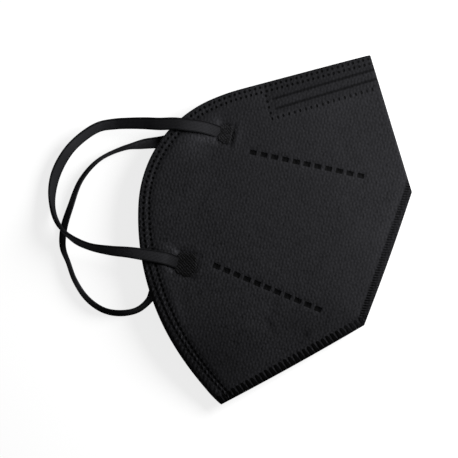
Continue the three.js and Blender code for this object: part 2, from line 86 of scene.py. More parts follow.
LOOP_WELDS = {
    "right_upper": {"x": -0.0418, "y": 0.1034, "length": 0.0064, "width": 0.0082, "heading": 8, "side": 1},
    "right_lower": {"x": -0.0358, "y": 0.0476, "length": 0.0090, "width": 0.0100, "heading": 10, "side": 1},
    "left_upper": {"x": -0.0418, "y": 0.1034, "length": 0.0064, "width": 0.0082, "heading": 8, "side": -1},
    "left_lower": {"x": -0.0358, "y": 0.0478, "length": 0.0084, "width": 0.0086, "heading": 50, "side": -1},
}

# Routes of the bands from the upper weld round to the lower one: pattern x and y, height of the
# band's middle, and the turn of its width from level, outer edge upwards, in degrees.
RIGHT_ROUTE = np.array([
    (-0.0444, 0.1029, 0.0127, 1), (-0.04555, 0.1029, 0.01302, 1), (-0.0486, 0.1027, 0.0135, 2),
    (-0.0525, 0.1021, 0.01368, 3), (-0.0572, 0.1008, 0.01375, 6), (-0.0629, 0.0991, 0.0134, 8),
    (-0.0685, 0.0966, 0.0125, 12), (-0.0744, 0.0944, 0.0112, 22), (-0.0801, 0.0920, 0.0097, 30),
    (-0.0857, 0.0893, 0.008, 34), (-0.0912, 0.0857, 0.0064, 41), (-0.0956, 0.0797, 0.0049, 42),
    (-0.0990, 0.0717, 0.0033, 42), (-0.1001, 0.0620, 0.0026, 42), (-0.0988, 0.0542, 0.0026, 54),
    (-0.0960, 0.0479, 0.0038, 71), (-0.0923, 0.0434, 0.0058, 81), (-0.0880, 0.0406, 0.0074, 94),
    (-0.0819, 0.0389, 0.0092, 117), (-0.0750, 0.0389, 0.0105, 123), (-0.0669, 0.0407, 0.0121, 137),
    (-0.0590, 0.0432, 0.0135, 149), (-0.0508, 0.0453, 0.0136, 165), (-0.0459, 0.0464, 0.0135, 174),
    (-0.0435, 0.0468, 0.0130, 178), (-0.0411, 0.0469, 0.01272, 180), (-0.0394, 0.0471, 0.01245, 180),
])
LEFT_ROUTE = np.array([
    (-0.0444, 0.1030, 0.0023, 0), (-0.0455, 0.1028, 0.0022, 0), (-0.0496, 0.1019, 0.0018, 2),
    (-0.0544, 0.0989, 0.0014, 6), (-0.0594, 0.0946, 0.0013, 12), (-0.0645, 0.0906, 0.0016, 24),
    (-0.0719, 0.0863, 0.0022, 44), (-0.0790, 0.0812, 0.0027, 84), (-0.0860, 0.0731, 0.0027, 93),
    (-0.0895, 0.0627, 0.0027, 107), (-0.0892, 0.0510, 0.0026, 117), (-0.0881, 0.0411, 0.0025, 122),
    (-0.0855, 0.0342, 0.0026, 117), (-0.0809, 0.0292, 0.0027, 106), (-0.0756, 0.0236, 0.0027, 109),
    (-0.0679, 0.0186, 0.0027, 113), (-0.0598, 0.0169, 0.0027, 114), (-0.0529, 0.0185, 0.0026, 116),
    (-0.0470, 0.0225, 0.0027, 114), (-0.0442, 0.0279, 0.0026, 119), (-0.0437, 0.0325, 0.0021, 140),
    (-0.0422, 0.0388, 0.0018, 163), (-0.0389, 0.0442, 0.0024, 180), (-0.0382, 0.0451, 0.0025, 180),
])

# Painted light and shade on the cloth: painted highlights where it puffs round the welds and beside
# the bands, painted shade in its folds and along the bands' edges. Each is an ellipse's pattern x and
# y, the heading of its length, half its length and width, and by how much.
PAINTED_LIGHT_PATCHES = [
    (-0.0513, 0.0958, 0, 0.0110, 0.0110, 0.50), (-0.0475, 0.1066, 0, 0.0045, 0.0045, 0.42),
    (-0.0370, 0.1070, 0, 0.0080, 0.0080, 0.10), (-0.0420, 0.0509, 0, 0.0030, 0.0030, 0.30),
    (-0.0414, 0.0433, 0, 0.0036, 0.0036, 0.20), (-0.0113, 0.0153, 0, 0.0280, 0.0280, -0.32),
    (-0.0389, 0.1042, 101, 0.0038, 0.0007, -0.80), (-0.0428, 0.0505, -2, 0.0034, 0.0021, 0.50),
    (-0.0411, 0.0428, 5, 0.0024, 0.0014, 0.65), (-0.0504, 0.0484, 14, 0.0062, 0.0009, -0.55),
    (0.0134, 0.1358, 0, 0.0260, 0.0260, -0.17), (-0.0416, 0.0809, 0, 0.0300, 0.0300, 0.09),
    (0.0172, 0.0432, 0, 0.0160, 0.0160, -0.14), (0.0065, 0.0386, -34, 0.0080, 0.0024, -0.32),
    (0.0215, 0.0410, 82, 0.0050, 0.0024, -0.40), (0.0266, 0.0499, 97, 0.0060, 0.0022, -0.26),
    (-0.0285, 0.1291, 0, 0.0160, 0.0160, 0.17), (0.0400, 0.0920, 0, 0.0220, 0.0220, 0.15),
    (-0.0490, 0.0985, 10, 0.0095, 0.0030, 0.80), (-0.0512, 0.0998, 10, 0.0085, 0.0009, 1.40),
    (-0.0440, 0.0435, 9, 0.0045, 0.0010, 1.20), (-0.0457, 0.0519, 0, 0.0030, 0.0024, 0.80),
]

# How light each band is painted along its run in millimetres: painted light and shade, for how the light
# falls on it.
BAND_PAINTED_LIGHT = {
    "right": [(0, 1.1), (6, 2.0), (14, 1.6), (18, 1.0), (30, 0.8), (43, 1.8), (47, 3.0), (51, 3.3), (56, 2.3),
              (63, 2.4), (71, 1.4), (88, 1.1), (95, 0.8), (101, 1.0), (106, 2.3), (114, 2.2), (123, 1.5),
              (134, 2.1), (150, 1.6), (155, 0.7)],
    "left": [(0, 1.0), (20, 1.5), (26, 1.0), (29, 8.0), (33, 5.2), (38, 2.6), (42, 2.2), (49, 1.9), (55, 1.0),
             (60, 0.7), (66, 1.5), (73, 2.4), (78, 1.3), (91, 0.7), (97, 1.7), (105, 1.3), (110, 2.2),
             (118, 1.1), (124, 0.4), (131, 0.4), (142, 2.2), (146, 1.1), (160, 1.0)],
}
# Painted light across each band, along the same run: how much lighter its outer edge is painted than its
# middle, and its inner edge darker.
BAND_SIDE_PAINTED_LIGHT = {
    "right": [(0, 0.0), (100, 0.3), (155, 0.0)],
    "left": [(0, 0.2), (40, 0.2), (60, 1.5), (140, 1.4), (150, 0.2), (160, 0.0)],
}


def heading(angle):
    """Unit vector at an angle in degrees from +X."""
    return np.array([math.cos(math.radians(angle)), math.sin(math.radians(angle))])


def left_of(v):
    """The vector turned a quarter turn to the left."""
    return np.stack([-v[..., 1], v[..., 0]], axis=-1)


def smooth(x, low, high):
    """Smooth step: 0 below low, 1 above high, 3t squared less 2t cubed between. low may be the greater.

    Numbers give numbers, and a finish's tones give a tone."""
    if isinstance(x, Tone):
        return x.smooth(low, high)
    t = np.clip((x - low) / (high - low), 0.0, 1.0)
    return t * t * (3 - 2 * t)


def bell(x, width):
    """Bell curve of height 1: e to the minus square of x over width."""
    return np.exp(-((x / width) ** 2))


def line_reach(p, x, y, turn):
    """Run along a line from the pattern point x, y, and distance to its left, for points p."""
    offset = p - np.array([x, y])
    return offset @ heading(turn), offset @ left_of(heading(turn))


class Stretch:
    """A straight run, or an arc that bends to the left, from a start point and a unit tangent."""

    def __init__(self, start, tangent, length, radius=None):
        self.start, self.tangent, self.length, self.radius = start, tangent, length, radius
        self.normal = left_of(tangent)
        self.centre = None if radius is None else start + radius * self.normal

    def at(self, s):
        """Points, tangents and normals at run s. On an arc the first radius turns by s over radius."""
        s = np.asarray(s, float)[:, None]
        if self.radius is None:
            flat = np.ones_like(s)
            return self.start + s * self.tangent, flat * self.tangent, flat * self.normal
        turn = s / self.radius
        outward = -np.cos(turn) * self.normal + np.sin(turn) * self.tangent
        return self.centre + self.radius * outward, left_of(outward), -outward

    def reach(self, p):
        """Run along the stretch and distance to its left, for points p."""
        if self.radius is None:
            offset = p - self.start
            return offset @ self.tangent, offset @ self.normal
        offset = p - self.centre
        turn = np.arctan2(offset @ self.tangent, -(offset @ self.normal))
        return turn * self.radius, self.radius - np.linalg.norm(offset, axis=-1)


class Edge:
    """A chain of stretches, each starting where the last one ends and with its heading."""

    def __init__(self, stretches):
        self.stretches = stretches
        self.starts = np.concatenate([[0], np.cumsum([x.length for x in stretches])])
        self.length = self.starts[-1]

    def at(self, s):
        """Points, tangents and normals at runs s; the end stretches run on past the ends."""
        s = np.asarray(s, float)
        which = np.clip(np.searchsorted(self.starts, s, side="right") - 1, 0, len(self.stretches) - 1)
        point, tangent, normal = (np.zeros((len(s), 2)) for _ in range(3))
        for k, stretch in enumerate(self.stretches):
            mine = which == k
            point[mine], tangent[mine], normal[mine] = stretch.at(s[mine] - self.starts[k])
        return point, tangent, normal

    def reach(self, p):
        """Run along the edge and distance from it, taken from the stretch that is nearest."""
        along, inset = np.zeros(len(p)), np.full(len(p), np.inf)
        last = len(self.stretches) - 1
        for k, stretch in enumerate(self.stretches):
            run, depth = stretch.reach(p)
            mine = depth < inset
            if k > 0:
                mine &= run >= 0
            if k < last:
                mine &= run <= stretch.length
            along[mine], inset[mine] = self.starts[k] + run[mine], depth[mine]
        return along, inset


def straight_edge(start, end):
    """A straight edge from one corner to the next."""
    run = end - start
    length = float(np.linalg.norm(run))
    return Edge([Stretch(start, run / length, length)])


def face_edge():
    """The face edge: straight down from the nose corner, then arcs that bend to the left."""
    chain = [Stretch(NOSE_CORNER, heading(FACE_HEADING), FACE_STRAIGHT)]
    for radius, turn in FACE_ARCS:
        point, tangent, _ = chain[-1].at([chain[-1].length])
        chain.append(Stretch(point[0], tangent[0], radius * math.radians(turn), radius))
    return Edge(chain)


EDGES = {
    "chin": straight_edge(CHIN_CORNER, FRONT_LOW),
    "front": straight_edge(FRONT_LOW, NOSE_TIP),
    "fold": straight_edge(NOSE_TIP, NOSE_CORNER),
    "face": face_edge(),
}
NAMES = list(EDGES)
SAMPLES = {"chin": 184, "front": 160, "fold": 128, "face": 576}
FACE_FIRST = SAMPLES["chin"] + SAMPLES["front"] + SAMPLES["fold"]


def corner_step(ending, starting, a, b):
    """Step from a corner to the inset outline's corner, a from the edge that ends there and b from
    the one that starts."""
    n = ending.at([ending.length])[2][0]
    m = starting.at([0.0])[2][0]
    cross = n[0] * m[1] - n[1] * m[0]
    return np.array([(a * m[1] - b * n[1]) / cross, (b * n[0] - a * m[0]) / cross])


def inset_ring(insets, level):
    """One closed ring of points, inset from each edge by its own amount, with mitred corners.

    Each edge's points are its own points moved along the normal. Near a corner they also slide along
    the edge, in proportion to the nearness, so the ring ends on the mitre. level halves the count."""
    rows = []
    for k, name in enumerate(NAMES):
        edge, before, after = EDGES[name], NAMES[k - 1], NAMES[(k + 1) % 4]
        ends, tangents, _ = edge.at([0.0, edge.length])
        step_in = corner_step(EDGES[before], edge, insets[before], insets[name])
        step_out = corner_step(edge, EDGES[after], insets[name], insets[after])
        slide_in, slide_out = step_in @ tangents[0], step_out @ tangents[1]
        s = edge.length * np.arange(0, SAMPLES[name], 2**level) / SAMPLES[name]
        near_in = np.maximum(0, 1 - 2 * s / edge.length)
        near_out = np.maximum(0, 2 * s / edge.length - 1)
        last_two = [slide_in, edge.length + slide_out]
        runs = np.concatenate([s + slide_in * near_in + slide_out * near_out, last_two])
        point, _, normal = edge.at(runs)
        point = point + insets[name] * normal
        missed = ends + [step_in, step_out] - point[-2:]
        rows.append(point[:-2] + near_in[:, None] * missed[0] + near_out[:, None] * missed[1])
    return np.concatenate(rows)


# Sizes and colours that a user would change.


def size(name, description, default, low=0.0, high=0.2):
    """A length in metres."""
    return FloatProperty(name=name, description=description, default=default, min=low, max=high,
                         subtype="DISTANCE", unit="LENGTH", precision=5)


def share(name, description, default, high=1.0):
    return FloatProperty(name=name, description=description, default=default, min=0.0, max=high)


def angle(name, description, degrees):
    return FloatProperty(name=name, description=description, default=math.radians(degrees),
                         min=-math.pi, max=math.pi, subtype="ANGLE", unit="ROTATION")


def colour(name, description, default):
    return FloatVectorProperty(name=name, description=description, default=default, size=3,
                               min=0.0, max=1.0, subtype="COLOR")


class MaskClothSizes(bpy.types.PropertyGroup):
    seam_height: size("Seam height", "Seam plane above the surface that the mask lies on", 0.0056)
    weld_half: size("Weld half", "Half the thickness of the pressed flange", 0.0005)
    weld_round: size("Weld rounding", "How far in the flange's cut edge is rounded", 0.0004)
    chin_weld: size("Chin weld", "Width of the flange along the chin", 0.0044)
    front_weld: size("Front weld", "Width of the flange along the front", 0.0035)
    fold_radius: size("Fold radius", "Outside radius of the nose fold", 0.0022)
    upper_puff: size("Upper puff", "Rise of the upper half over its edges", 0.0058)
    lower_puff: size("Lower puff", "Drop of the lower half under its edges", 0.0064)
    puff_reach: size("Puff reach", "Distance from a seam at which the puff is complete", 0.045)
    rim_droop: share("Rim droop", "Share of the puff that the upper rim loses", 0.2)
    rim_lift: share("Rim lift", "Share of the puff that the lower rim loses", 0.87)
    wall: size("Wall", "Filter layers together", 0.0016)
    rim_wall: size("Rim wall", "The layers, pressed at the face edge", 0.001)
    rim_bulge: size("Rim bulge", "How far the cut rim is rounded", 0.0003)
    edge_bow: size("Edge bow", "How far the chin and front edges bow out between their corners", 0.00042)
    waviness: size("Waviness", "Height of the slack waves in the cloth", 0.00022)


class MaskReliefSizes(bpy.types.PropertyGroup):
    dot_depth: size("Dot depth", "Depth of the weld dots along the face edge", 0.00022)
    hem_depth: size("Hem depth", "Depth of the troughs that the dots stand in", 0.00016)
    rib_depth: size("Rib depth", "Depth of the grooves across the chin weld", 0.00024)
    front_rib_depth: size("Front rib depth", "Depth of the grooves across the front weld", 0.00012)
    groove_depth: size("Groove depth", "Depth of the grooves beside the nose wire", 0.00036)
    wire_swell: size("Wire swell", "Rise of the cloth over the nose wire", 0.00024)
    mark_depth: size("Mark depth", "Depth of the weld marks", 0.0004)
    seat_depth: size("Seat depth", "How far the cloth is pressed in at a loop's weld", 0.0003)


class MaskBandSizes(bpy.types.PropertyGroup):
    width: size("Width", "Width of the ear loop band", 0.0052)
    thickness: size("Thickness", "Thickness of the ear loop band", 0.0007)
    roll: share("Roll", "How much thicker a band is where it stands on its edge and rolls", 1.8)
    stations: IntProperty(name="Stations", description="Rings along each band", default=340, min=40, max=2000)
    weld_rise: size("Weld rise", "Height of a loop's weld over the cloth", 0.00022)
    knurl_depth: size("Knurl depth", "Depth of the crossed lines pressed into a weld", 0.00006)


class MaskColours(bpy.types.PropertyGroup):
    cloth: colour("Cloth", "Filter cloth outside", (0.0112, 0.0112, 0.0124))
    lining: colour("Lining", "Soft cloth inside", (0.0105, 0.0105, 0.0116))
    band: colour("Band", "Knitted ear loop band", (0.0112, 0.0112, 0.0122))
    fused: colour("Fused cloth", "Cloth melted under the welding horn", (0.0060, 0.0060, 0.0067))
    wire: colour("Wire", "Aluminium nose wire", (0.50, 0.51, 0.52))
    floor: colour("Floor", "Studio floor", (0.26, 0.26, 0.26))


class MaskStudio(bpy.types.PropertyGroup):
    view_width: size("View width", "Width of the view at the seam plane", 0.1889, high=2.0)
    camera_height: size("Camera height", "Camera above the seam plane", 2.0, high=10.0)
    key_power: FloatProperty(name="Key power", description="Power of the soft lamp", default=2.87,
                             min=0.0, max=1000.0, unit="POWER")
    key_size: size("Key size", "Width of the soft lamp", 0.24, high=5.0)
    key_distance: size("Key distance", "Soft lamp from the mask", 0.35, high=5.0)
    key_height: angle("Key height", "Soft lamp above the floor", 34)
    key_turn: angle("Key turn", "Soft lamp round from the view's right", 28)
    sky: share("Sky", "Strength of the even light from all round", 0.12, high=10.0)
    glow: share("Floor glow", "Light that the floor gives off, like a light table", 0.80, high=10.0)


# Heights of the cloth.

SEAM_POWER = 3                 # of the soft minimum of the distances to the seams
FOLD_ARC = 73                  # degrees of the nose fold's round part
FOLD_TAKEOVER = 0.0035         # past the flange, where the fold's thickness takes over from it
DROOP_REACH, LIFT_REACH = 0.008, 0.040       # how far in from the face edge the rims are moved
RIM_REACH = 0.008              # and how far in the wall is thinner
LIFT_POWER = 1.25
SLACK_START, SLACK_REACH = 0.001, 0.012      # slack waves fade in past the fold and the welds
LOWER_CREASES = 0.6            # share of the creases that the lower half has
LEAST_ROOM = 0.0001            # least height of the hollow
TINY = 1e-6

# Where the lining starts past each seam, and how far on it is fully open.
LINING = {"chin": (0.0086, 0.0024), "front": (0.0077, 0.0023), "fold": (0.0024, 0.0022)}

# Dots along the face edge: spacing, place of the first, from where on they spread and by how much.
DOT_PITCH = 0.0022
DOT_START = 0.0014
DOT_SPREAD_FROM = 0.062
DOT_SPREAD = 0.0435
DOT_REACH = 0.00042            # widths of the bell curves of a dot and of a groove
TROUGH_REACH = 0.00055

# Ribs across the chin weld: spacing and lean. The front weld's are half as far apart.
RIB_PITCH = 0.00222
RIB_LEAN = 0.12

# Grooves beside the nose wire: distance from the face edge at the nose corner, and its growth along
# the edge. The wire lies midway between them, in a pocket that ends at its own run.
WIRE_GROOVES = [(0.0063, 0.026), (0.0103, 0.030)]
POCKET_END, POCKET_SIDE, POCKET_BLUR = 0.048, 0.007, 0.0047
POCKET_WALL = 0.0007           # how much thicker the wall is there


def fold_half(distance, sizes):
    """Half thickness of the nose fold: a quarter circle of the fold radius up to 73 degrees, then level."""
    radius = sizes.fold_radius
    arc = math.radians(FOLD_ARC)
    back = radius - np.maximum(distance, 0)
    round_nose = np.sqrt(np.maximum(radius**2 - back**2, 0))
    return np.where(distance >= radius * (1 - math.cos(arc)), radius * math.sin(arc), round_nose)


def skin(p, sizes):
    """Heights of the outer skin, upper and lower, over pattern points.

    The distance to the seams is a soft minimum of the three welded or folded edges, the puff is a
    parabola of it, the edge is half the flange or the fold, and near the face edge the upper puff
    droops a little while the lower half lifts off the floor."""
    chin_inset, front = EDGES["chin"].reach(p)[1], EDGES["front"].reach(p)[1]
    chin = chin_inset - sizes.chin_weld
    fold = np.maximum(EDGES["fold"].reach(p)[1], 0)
    face = np.maximum(EDGES["face"].reach(p)[1], 0)
    fold_end = sizes.fold_radius * (1 - math.cos(math.radians(FOLD_ARC)))
    near = [np.maximum(d, TINY) ** -SEAM_POWER for d in (chin, front - sizes.front_weld, fold - fold_end)]
    seam = sum(near) ** (-1 / SEAM_POWER)
    weld = np.maximum(np.minimum(chin_inset, front), 0)
    takes = smooth(weld, sizes.front_weld, sizes.front_weld + FOLD_TAKEOVER) * (weld / (weld + fold + TINY))
    cut = 1 - np.minimum(weld / sizes.weld_round, 1)
    flange = sizes.weld_half * np.sqrt(1 - cut**2)
    flange = flange * np.sqrt(1 - (1 - np.minimum(fold / sizes.weld_round, 1)) ** 2)
    edge = flange + (fold_half(fold, sizes) - flange) * takes
    puff = 1 - (1 - np.clip(seam / sizes.puff_reach, 0, 1)) ** 2
    droop = sizes.rim_droop * np.maximum(0, 1 - face / DROOP_REACH) ** 2
    lift = sizes.rim_lift * np.maximum(0, 1 - face / LIFT_REACH) ** LIFT_POWER
    sag = np.minimum(sizes.lower_puff * puff, sizes.seam_height - edge)
    under = flange + (edge - flange) * (1 - lift * smooth(fold, 0, sizes.puff_reach))
    upper = sizes.seam_height + edge + sizes.upper_puff * puff * (1 - droop)
    lower = sizes.seam_height - under - sag * (1 - lift)
    return upper, lower


def groove_lines(along):
    """Distances from the face edge of the two grooves beside the nose wire."""
    return [start + growth * along for start, growth in WIRE_GROOVES]


def wall_at(p, sizes):
    """Wall thickness: pressed thin at the face edge, and thicker round the nose wire's pocket."""
    along, face = EDGES["face"].reach(p)
    across = np.abs(face - sum(groove_lines(along)) / 2)
    pocket = smooth(POCKET_SIDE - across, 0, POCKET_BLUR) * smooth(POCKET_END - along, 0, POCKET_BLUR)
    wall = sizes.rim_wall + (sizes.wall - sizes.rim_wall) * smooth(face, 0, RIM_REACH)
    return wall + POCKET_WALL * pocket


def slack(p):
    """Slack waves of the cloth, from -1 to 1: four sine waves of 14 to 41 mm that cross at odd angles."""
    waves = [(0.041, 24, 0.3, 0.36), (0.027, 118, 1.9, 0.28), (0.019, 63, 4.1, 0.20), (0.014, 152, 2.6, 0.16)]
    return sum(part * np.sin(2 * np.pi * (p @ heading(turn)) / length + start)
               for length, turn, start, part in waves)


# Creases and puckers pressed or pulled into the cloth: middle, heading, half length, half width
# and height, in metres and degrees. Those beside the loops' welds come from the welding.
CREASES = [
    (-0.03935, 0.1041, 101, 0.0050, 0.00042, -0.00034),
    (-0.0374, 0.1040, 100, 0.0055, 0.0013, 0.00024),
    (-0.0464, 0.1054, 170, 0.0028, 0.0012, 0.00040),
    (-0.0487, 0.1012, 6, 0.0042, 0.0030, 0.00055),
    (-0.0500, 0.0452, 14, 0.0050, 0.0028, 0.00040),
    (-0.0432, 0.0462, 6, 0.0028, 0.0026, 0.00030),
    (-0.0440, 0.1003, 30, 0.0030, 0.0014, 0.00025),
    (-0.0424, 0.0506, 150, 0.0024, 0.0011, 0.00040),
    (-0.0305, 0.0470, 95, 0.0040, 0.0012, 0.00025),
    (-0.0150, 0.0450, 40, 0.0095, 0.0022, -0.00035),
    (0.0035, 0.0440, 100, 0.0080, 0.0024, -0.00038),
    (-0.0030, 0.0330, 30, 0.0110, 0.0030, 0.00030),
    (0.0185, 0.0760, 78, 0.0150, 0.0035, 0.00032),
    (0.0075, 0.1160, 140, 0.0120, 0.0030, -0.00026),
    (-0.0230, 0.0800, 62, 0.0160, 0.0034, 0.00028),
    (-0.0410, 0.0740, 85, 0.0120, 0.0030, -0.00026),
    (-0.0200, 0.1200, 35, 0.0090, 0.0024, 0.00022),
    (-0.0310, 0.0330, 120, 0.0085, 0.0022, -0.00024),
]


def creases(p):
    """Sum of long bell-shaped ridges and valleys, each a bell across its line and along it."""
    total = np.zeros(len(p))
    for x, y, turn, half_length, half_width, height in CREASES:
        along, across = line_reach(p, x, y, turn)
        total += height * bell(along, half_length) * bell(across, half_width)
    return total


def hem_rows(along):
    """Distances of the two rows of dots from the face edge, in metres like the run along it.

    They move inwards from nose to jaw. Numbers give numbers, and a finish's tones give tones."""
    ear = smooth(along, 0.050, 0.100)
    first = 0.0015 + 0.0004 * ear + 0.0022 * smooth(along, 0.118, 0.210)
    return first, 0.0036 + 0.0004 * ear + 0.0016 * smooth(along, 0.105, 0.175)


def dot_run(along):
    """Run along the face edge from its first dot, drawn in from the ear on, where dots stand wider.

    Half the sum of a number and its size is the number where it is above 0, and else 0."""
    past = along - DOT_SPREAD_FROM
    return along - DOT_SPREAD * (past + abs(past)) / 2 - DOT_START


def hem_relief(along, face, relief):
    """Two troughs along the face edge with a ridge between them, a bell-shaped dimple at each dot,
    and towards the jaw slanted folds from dot to dot."""
    first, second = hem_rows(along)
    grow = (0.35 + 0.45 * smooth(along, 0.045, 0.100)) * (1 - 0.8 * smooth(along, 0.115, 0.150))
    height = -relief.hem_depth * grow * (bell(face - first, TROUGH_REACH) + bell(face - second, TROUGH_REACH))
    height += 0.6 * relief.hem_depth * grow * bell(face - (first + second) / 2, 0.0006)
    run = dot_run(along)
    step = (np.mod(run / DOT_PITCH + 0.5, 1) - 0.5) * DOT_PITCH
    row = np.minimum(np.abs(face - first), np.abs(face - second))
    height -= relief.dot_depth * bell(step, DOT_REACH) * bell(row, DOT_REACH)
    jaw = smooth(along, 0.130, 0.165) * smooth(face, 0.0004, 0.0012) * smooth(face, 0.0078, 0.0058)
    return height + 0.00010 * jaw * np.cos(2 * np.pi * (run + 0.9 * (face - first)) / DOT_PITCH)


def nose_relief(along, face, relief):
    """Two grooves and a swell over the nose wire between them, up to where the wire ends."""
    upper, lower = groove_lines(along)
    reach = smooth(along, 0.0445, 0.0425)
    troughs = bell(face - upper, TROUGH_REACH) + bell(face - lower, TROUGH_REACH)
    height = -relief.groove_depth * reach * troughs
    strip = smooth(face, upper, upper + 0.0010) * smooth(face, lower, lower - 0.0010)
    below = smooth(face, lower, lower + 0.0010) * smooth(face, lower + 0.0046, lower + 0.0022)
    return height + relief.wire_swell * reach * (strip + 0.45 * below)


def weld_relief(p, relief):
    """Grooves with thin ribs between them, square to the chin and front edges, across the flange."""
    chin_run, chin = EDGES["chin"].reach(p)
    front_run, front = EDGES["front"].reach(p)
    phase = np.mod((chin_run + RIB_LEAN * chin) / RIB_PITCH, 1) - 0.5
    chin_rib = 1 - bell(phase, 0.10)
    height = -relief.rib_depth * chin_rib * smooth(chin, 0.0046, 0.0036) * smooth(front, 0.0006, 0.0022)
    fine = 0.5 - 0.5 * np.cos(4 * np.pi * front_run / RIB_PITCH)
    beat = 0.5 - 0.5 * np.cos(2 * np.pi * front_run / RIB_PITCH)
    front_rib = (0.6 * fine + 0.4 * beat) * smooth(front, 0.0037, 0.0029) * smooth(chin, 0.0044, 0.0056)
    return height - relief.front_rib_depth * front_rib


def mark_relief(p, relief):
    """A soft-edged rectangle pressed in at each weld mark, in a shallow trough along the row."""
    height = np.zeros(len(p))
    for row in MARK_ROWS:
        along, across = line_reach(p, row["x"], row["y"], row["angle"])
        which = np.clip(np.round(along / row["pitch"]), 0, MARKS_PER_ROW - 1)
        end = np.abs(along - which * row["pitch"]) - row["length"] / 2
        side = np.abs(across) - row["width"] / 2
        pressed = smooth(end, 0.0004, -0.0004) * smooth(side, 0.0004, -0.0004)
        trough = bell(across, 0.0024) * smooth(end, 0.0018, 0.0002)
        height -= relief.mark_depth * (0.75 * pressed + 0.35 * trough)
    return height


def seat_relief(p, relief, side):
    """Where a loop is welded on, the cloth is pressed in under the weld, with a soft rounded edge."""
    height = np.zeros(len(p))
    for weld in LOOP_WELDS.values():
        if weld["side"] == side:
            along, across = np.abs(line_reach(p, weld["x"], weld["y"], weld["heading"]))
            past_end, past_side = along - weld["length"] / 2, across - weld["width"] / 2
            outside = np.hypot(np.maximum(past_end, 0), np.maximum(past_side, 0))
            height -= relief.seat_depth * smooth(outside, 0.0016, 0.0)
    return height


def outer_relief(p, relief, side):
    """All that is pressed into the outer cloth of one half, as a height over its skin."""
    along, face = EDGES["face"].reach(p)
    height = hem_relief(along, face, relief) + nose_relief(along, face, relief) + weld_relief(p, relief)
    return height + mark_relief(p, relief) + seat_relief(p, relief, side)


def cloth_heights(p, sizes, relief, side, lined=False):
    """Height of one half's outer cloth, or of its lining, over pattern points.

    The lining lies a wall's thickness inside the skin and closes to the middle along the seams,
    as the square root of how far it is past them. The slack waves carry both alike."""
    upper, lower = skin(p, sizes)
    insets = [EDGES[name].reach(p)[1] for name in LINING]
    welds = [sizes.chin_weld, sizes.front_weld, SLACK_START]
    free = np.min([inset - weld for inset, weld in zip(insets, welds)], axis=0)
    folds = sizes.waviness * slack(p) * side + creases(p) * (1 if side > 0 else LOWER_CREASES)
    wave = folds * smooth(free, 0, SLACK_REACH)
    if not lined:
        height = wave + outer_relief(p, relief, side)
        return upper + height if side > 0 else np.maximum(lower - height, 0.0)
    past = [(inset - start) / fade for inset, (start, fade) in zip(insets, LINING.values())]
    opened = np.clip(np.min(past, axis=0), 0, 1)
    room = np.maximum(upper - lower - 2 * wall_at(p, sizes), LEAST_ROOM) / 2
    return (upper + lower) / 2 + side * (room * np.sqrt(opened) + wave * opened)


# Surfaces.


class Weave:
    """Collects the points and faces of one closed surface. A row is an array of point numbers."""

    def __init__(self):
        self.points, self.count = [], 0
        self.quads, self.triangles = [], []

    def add(self, points):
        """Adds points and gives their numbers."""
        self.points.append(points)
        self.count += len(points)
        return np.arange(self.count - len(points), self.count)

    def faces(self, corners, kind, flip):
        """Faces of one material from three or four rows of corners, turned over where flip is true."""
        corners = corners[:1] + corners[:0:-1] if flip else corners
        kept = self.quads if len(corners) == 4 else self.triangles
        kept.append(np.stack([*corners, np.full(len(corners[0]), kind)], axis=1))

    def rows(self, outer, inner, kind, flip):
        """Faces between two open rows of one length. Their front shows outer from left to right below."""
        self.faces([outer[:-1], outer[1:], inner[1:], inner[:-1]], kind, flip)

    def rings(self, outer, inner, kind, flip):
        """Faces between two closed rings; the inner one has as many points, or half as many."""
        if len(outer) == len(inner):
            self.rows(np.append(outer, outer[0]), np.append(inner, inner[0]), kind, flip)
            return
        a, b, c = outer[0::2], outer[1::2], np.roll(outer[0::2], -1)
        d, e = inner, np.roll(inner, -1)
        for corners in ([a, b, d], [b, e, d], [b, c, e]):
            self.faces(corners, kind, flip)

    def fan(self, ring, centre, kind, flip):
        """Triangles from a closed ring to one point."""
        self.faces([ring, np.roll(ring, -1), np.full(len(ring), centre[0])], kind, flip)

    def all_points(self):
        return np.concatenate(self.points)


def make_piece(name, weave, finishes, uv_maps):
    """A mesh object at the origin from a weave, smooth, with its materials and its UV maps."""
    quads, triangles = np.concatenate(weave.quads), np.concatenate(weave.triangles)
    points = weave.all_points()
    corners = np.concatenate([quads[:, :4].ravel(), triangles[:, :3].ravel()])
    starts = np.concatenate([np.arange(len(quads)) * 4, len(quads) * 4 + np.arange(len(triangles)) * 3])
    mesh = bpy.data.meshes.new(name)
    mesh.vertices.add(len(points))
    mesh.vertices.foreach_set("co", points.astype(np.float32).ravel())
    mesh.loops.add(len(corners))
    mesh.loops.foreach_set("vertex_index", corners.astype(np.int32))
    mesh.polygons.add(len(starts))
    mesh.polygons.foreach_set("loop_start", starts.astype(np.int32))
    kinds = np.concatenate([quads[:, 4], triangles[:, 3]])
    for finish in finishes:
        mesh.materials.append(finish)
    mesh.polygons.foreach_set("material_index", kinds.astype(np.int32))
    mesh.update(calc_edges=True)
    mesh.shade_smooth()
    for label, values in uv_maps.items():
        layer = mesh.uv_layers.new(name=label)
        layer.uv.foreach_set("vector", values[corners].astype(np.float32).ravel())
    if mesh.validate():
        raise RuntimeError(f"{name} has faces that aren't valid")
    piece = bpy.data.objects.new(name, mesh)
    bpy.context.scene.collection.objects.link(piece)
    return piece


def in_frame(p, z):
    """Pattern points with heights, in the row frame."""
    return np.column_stack([p + ORIGIN, z])


BOW_REACH = 0.012


def bowed(p, amount):
    """Pattern points moved out where the chin and front edges bow: a sine along the edge, which fades
    inwards over the bow's reach."""
    moved = p.copy()
    for name in ("chin", "front"):
        edge = EDGES[name]
        run, inset = edge.reach(p)
        push = amount * np.sin(np.pi * np.clip(run / edge.length, 0, 1)) * smooth(inset, BOW_REACH, 0.0)
        moved -= push[:, None] * edge.stretches[0].normal
    return moved


# Finishes.


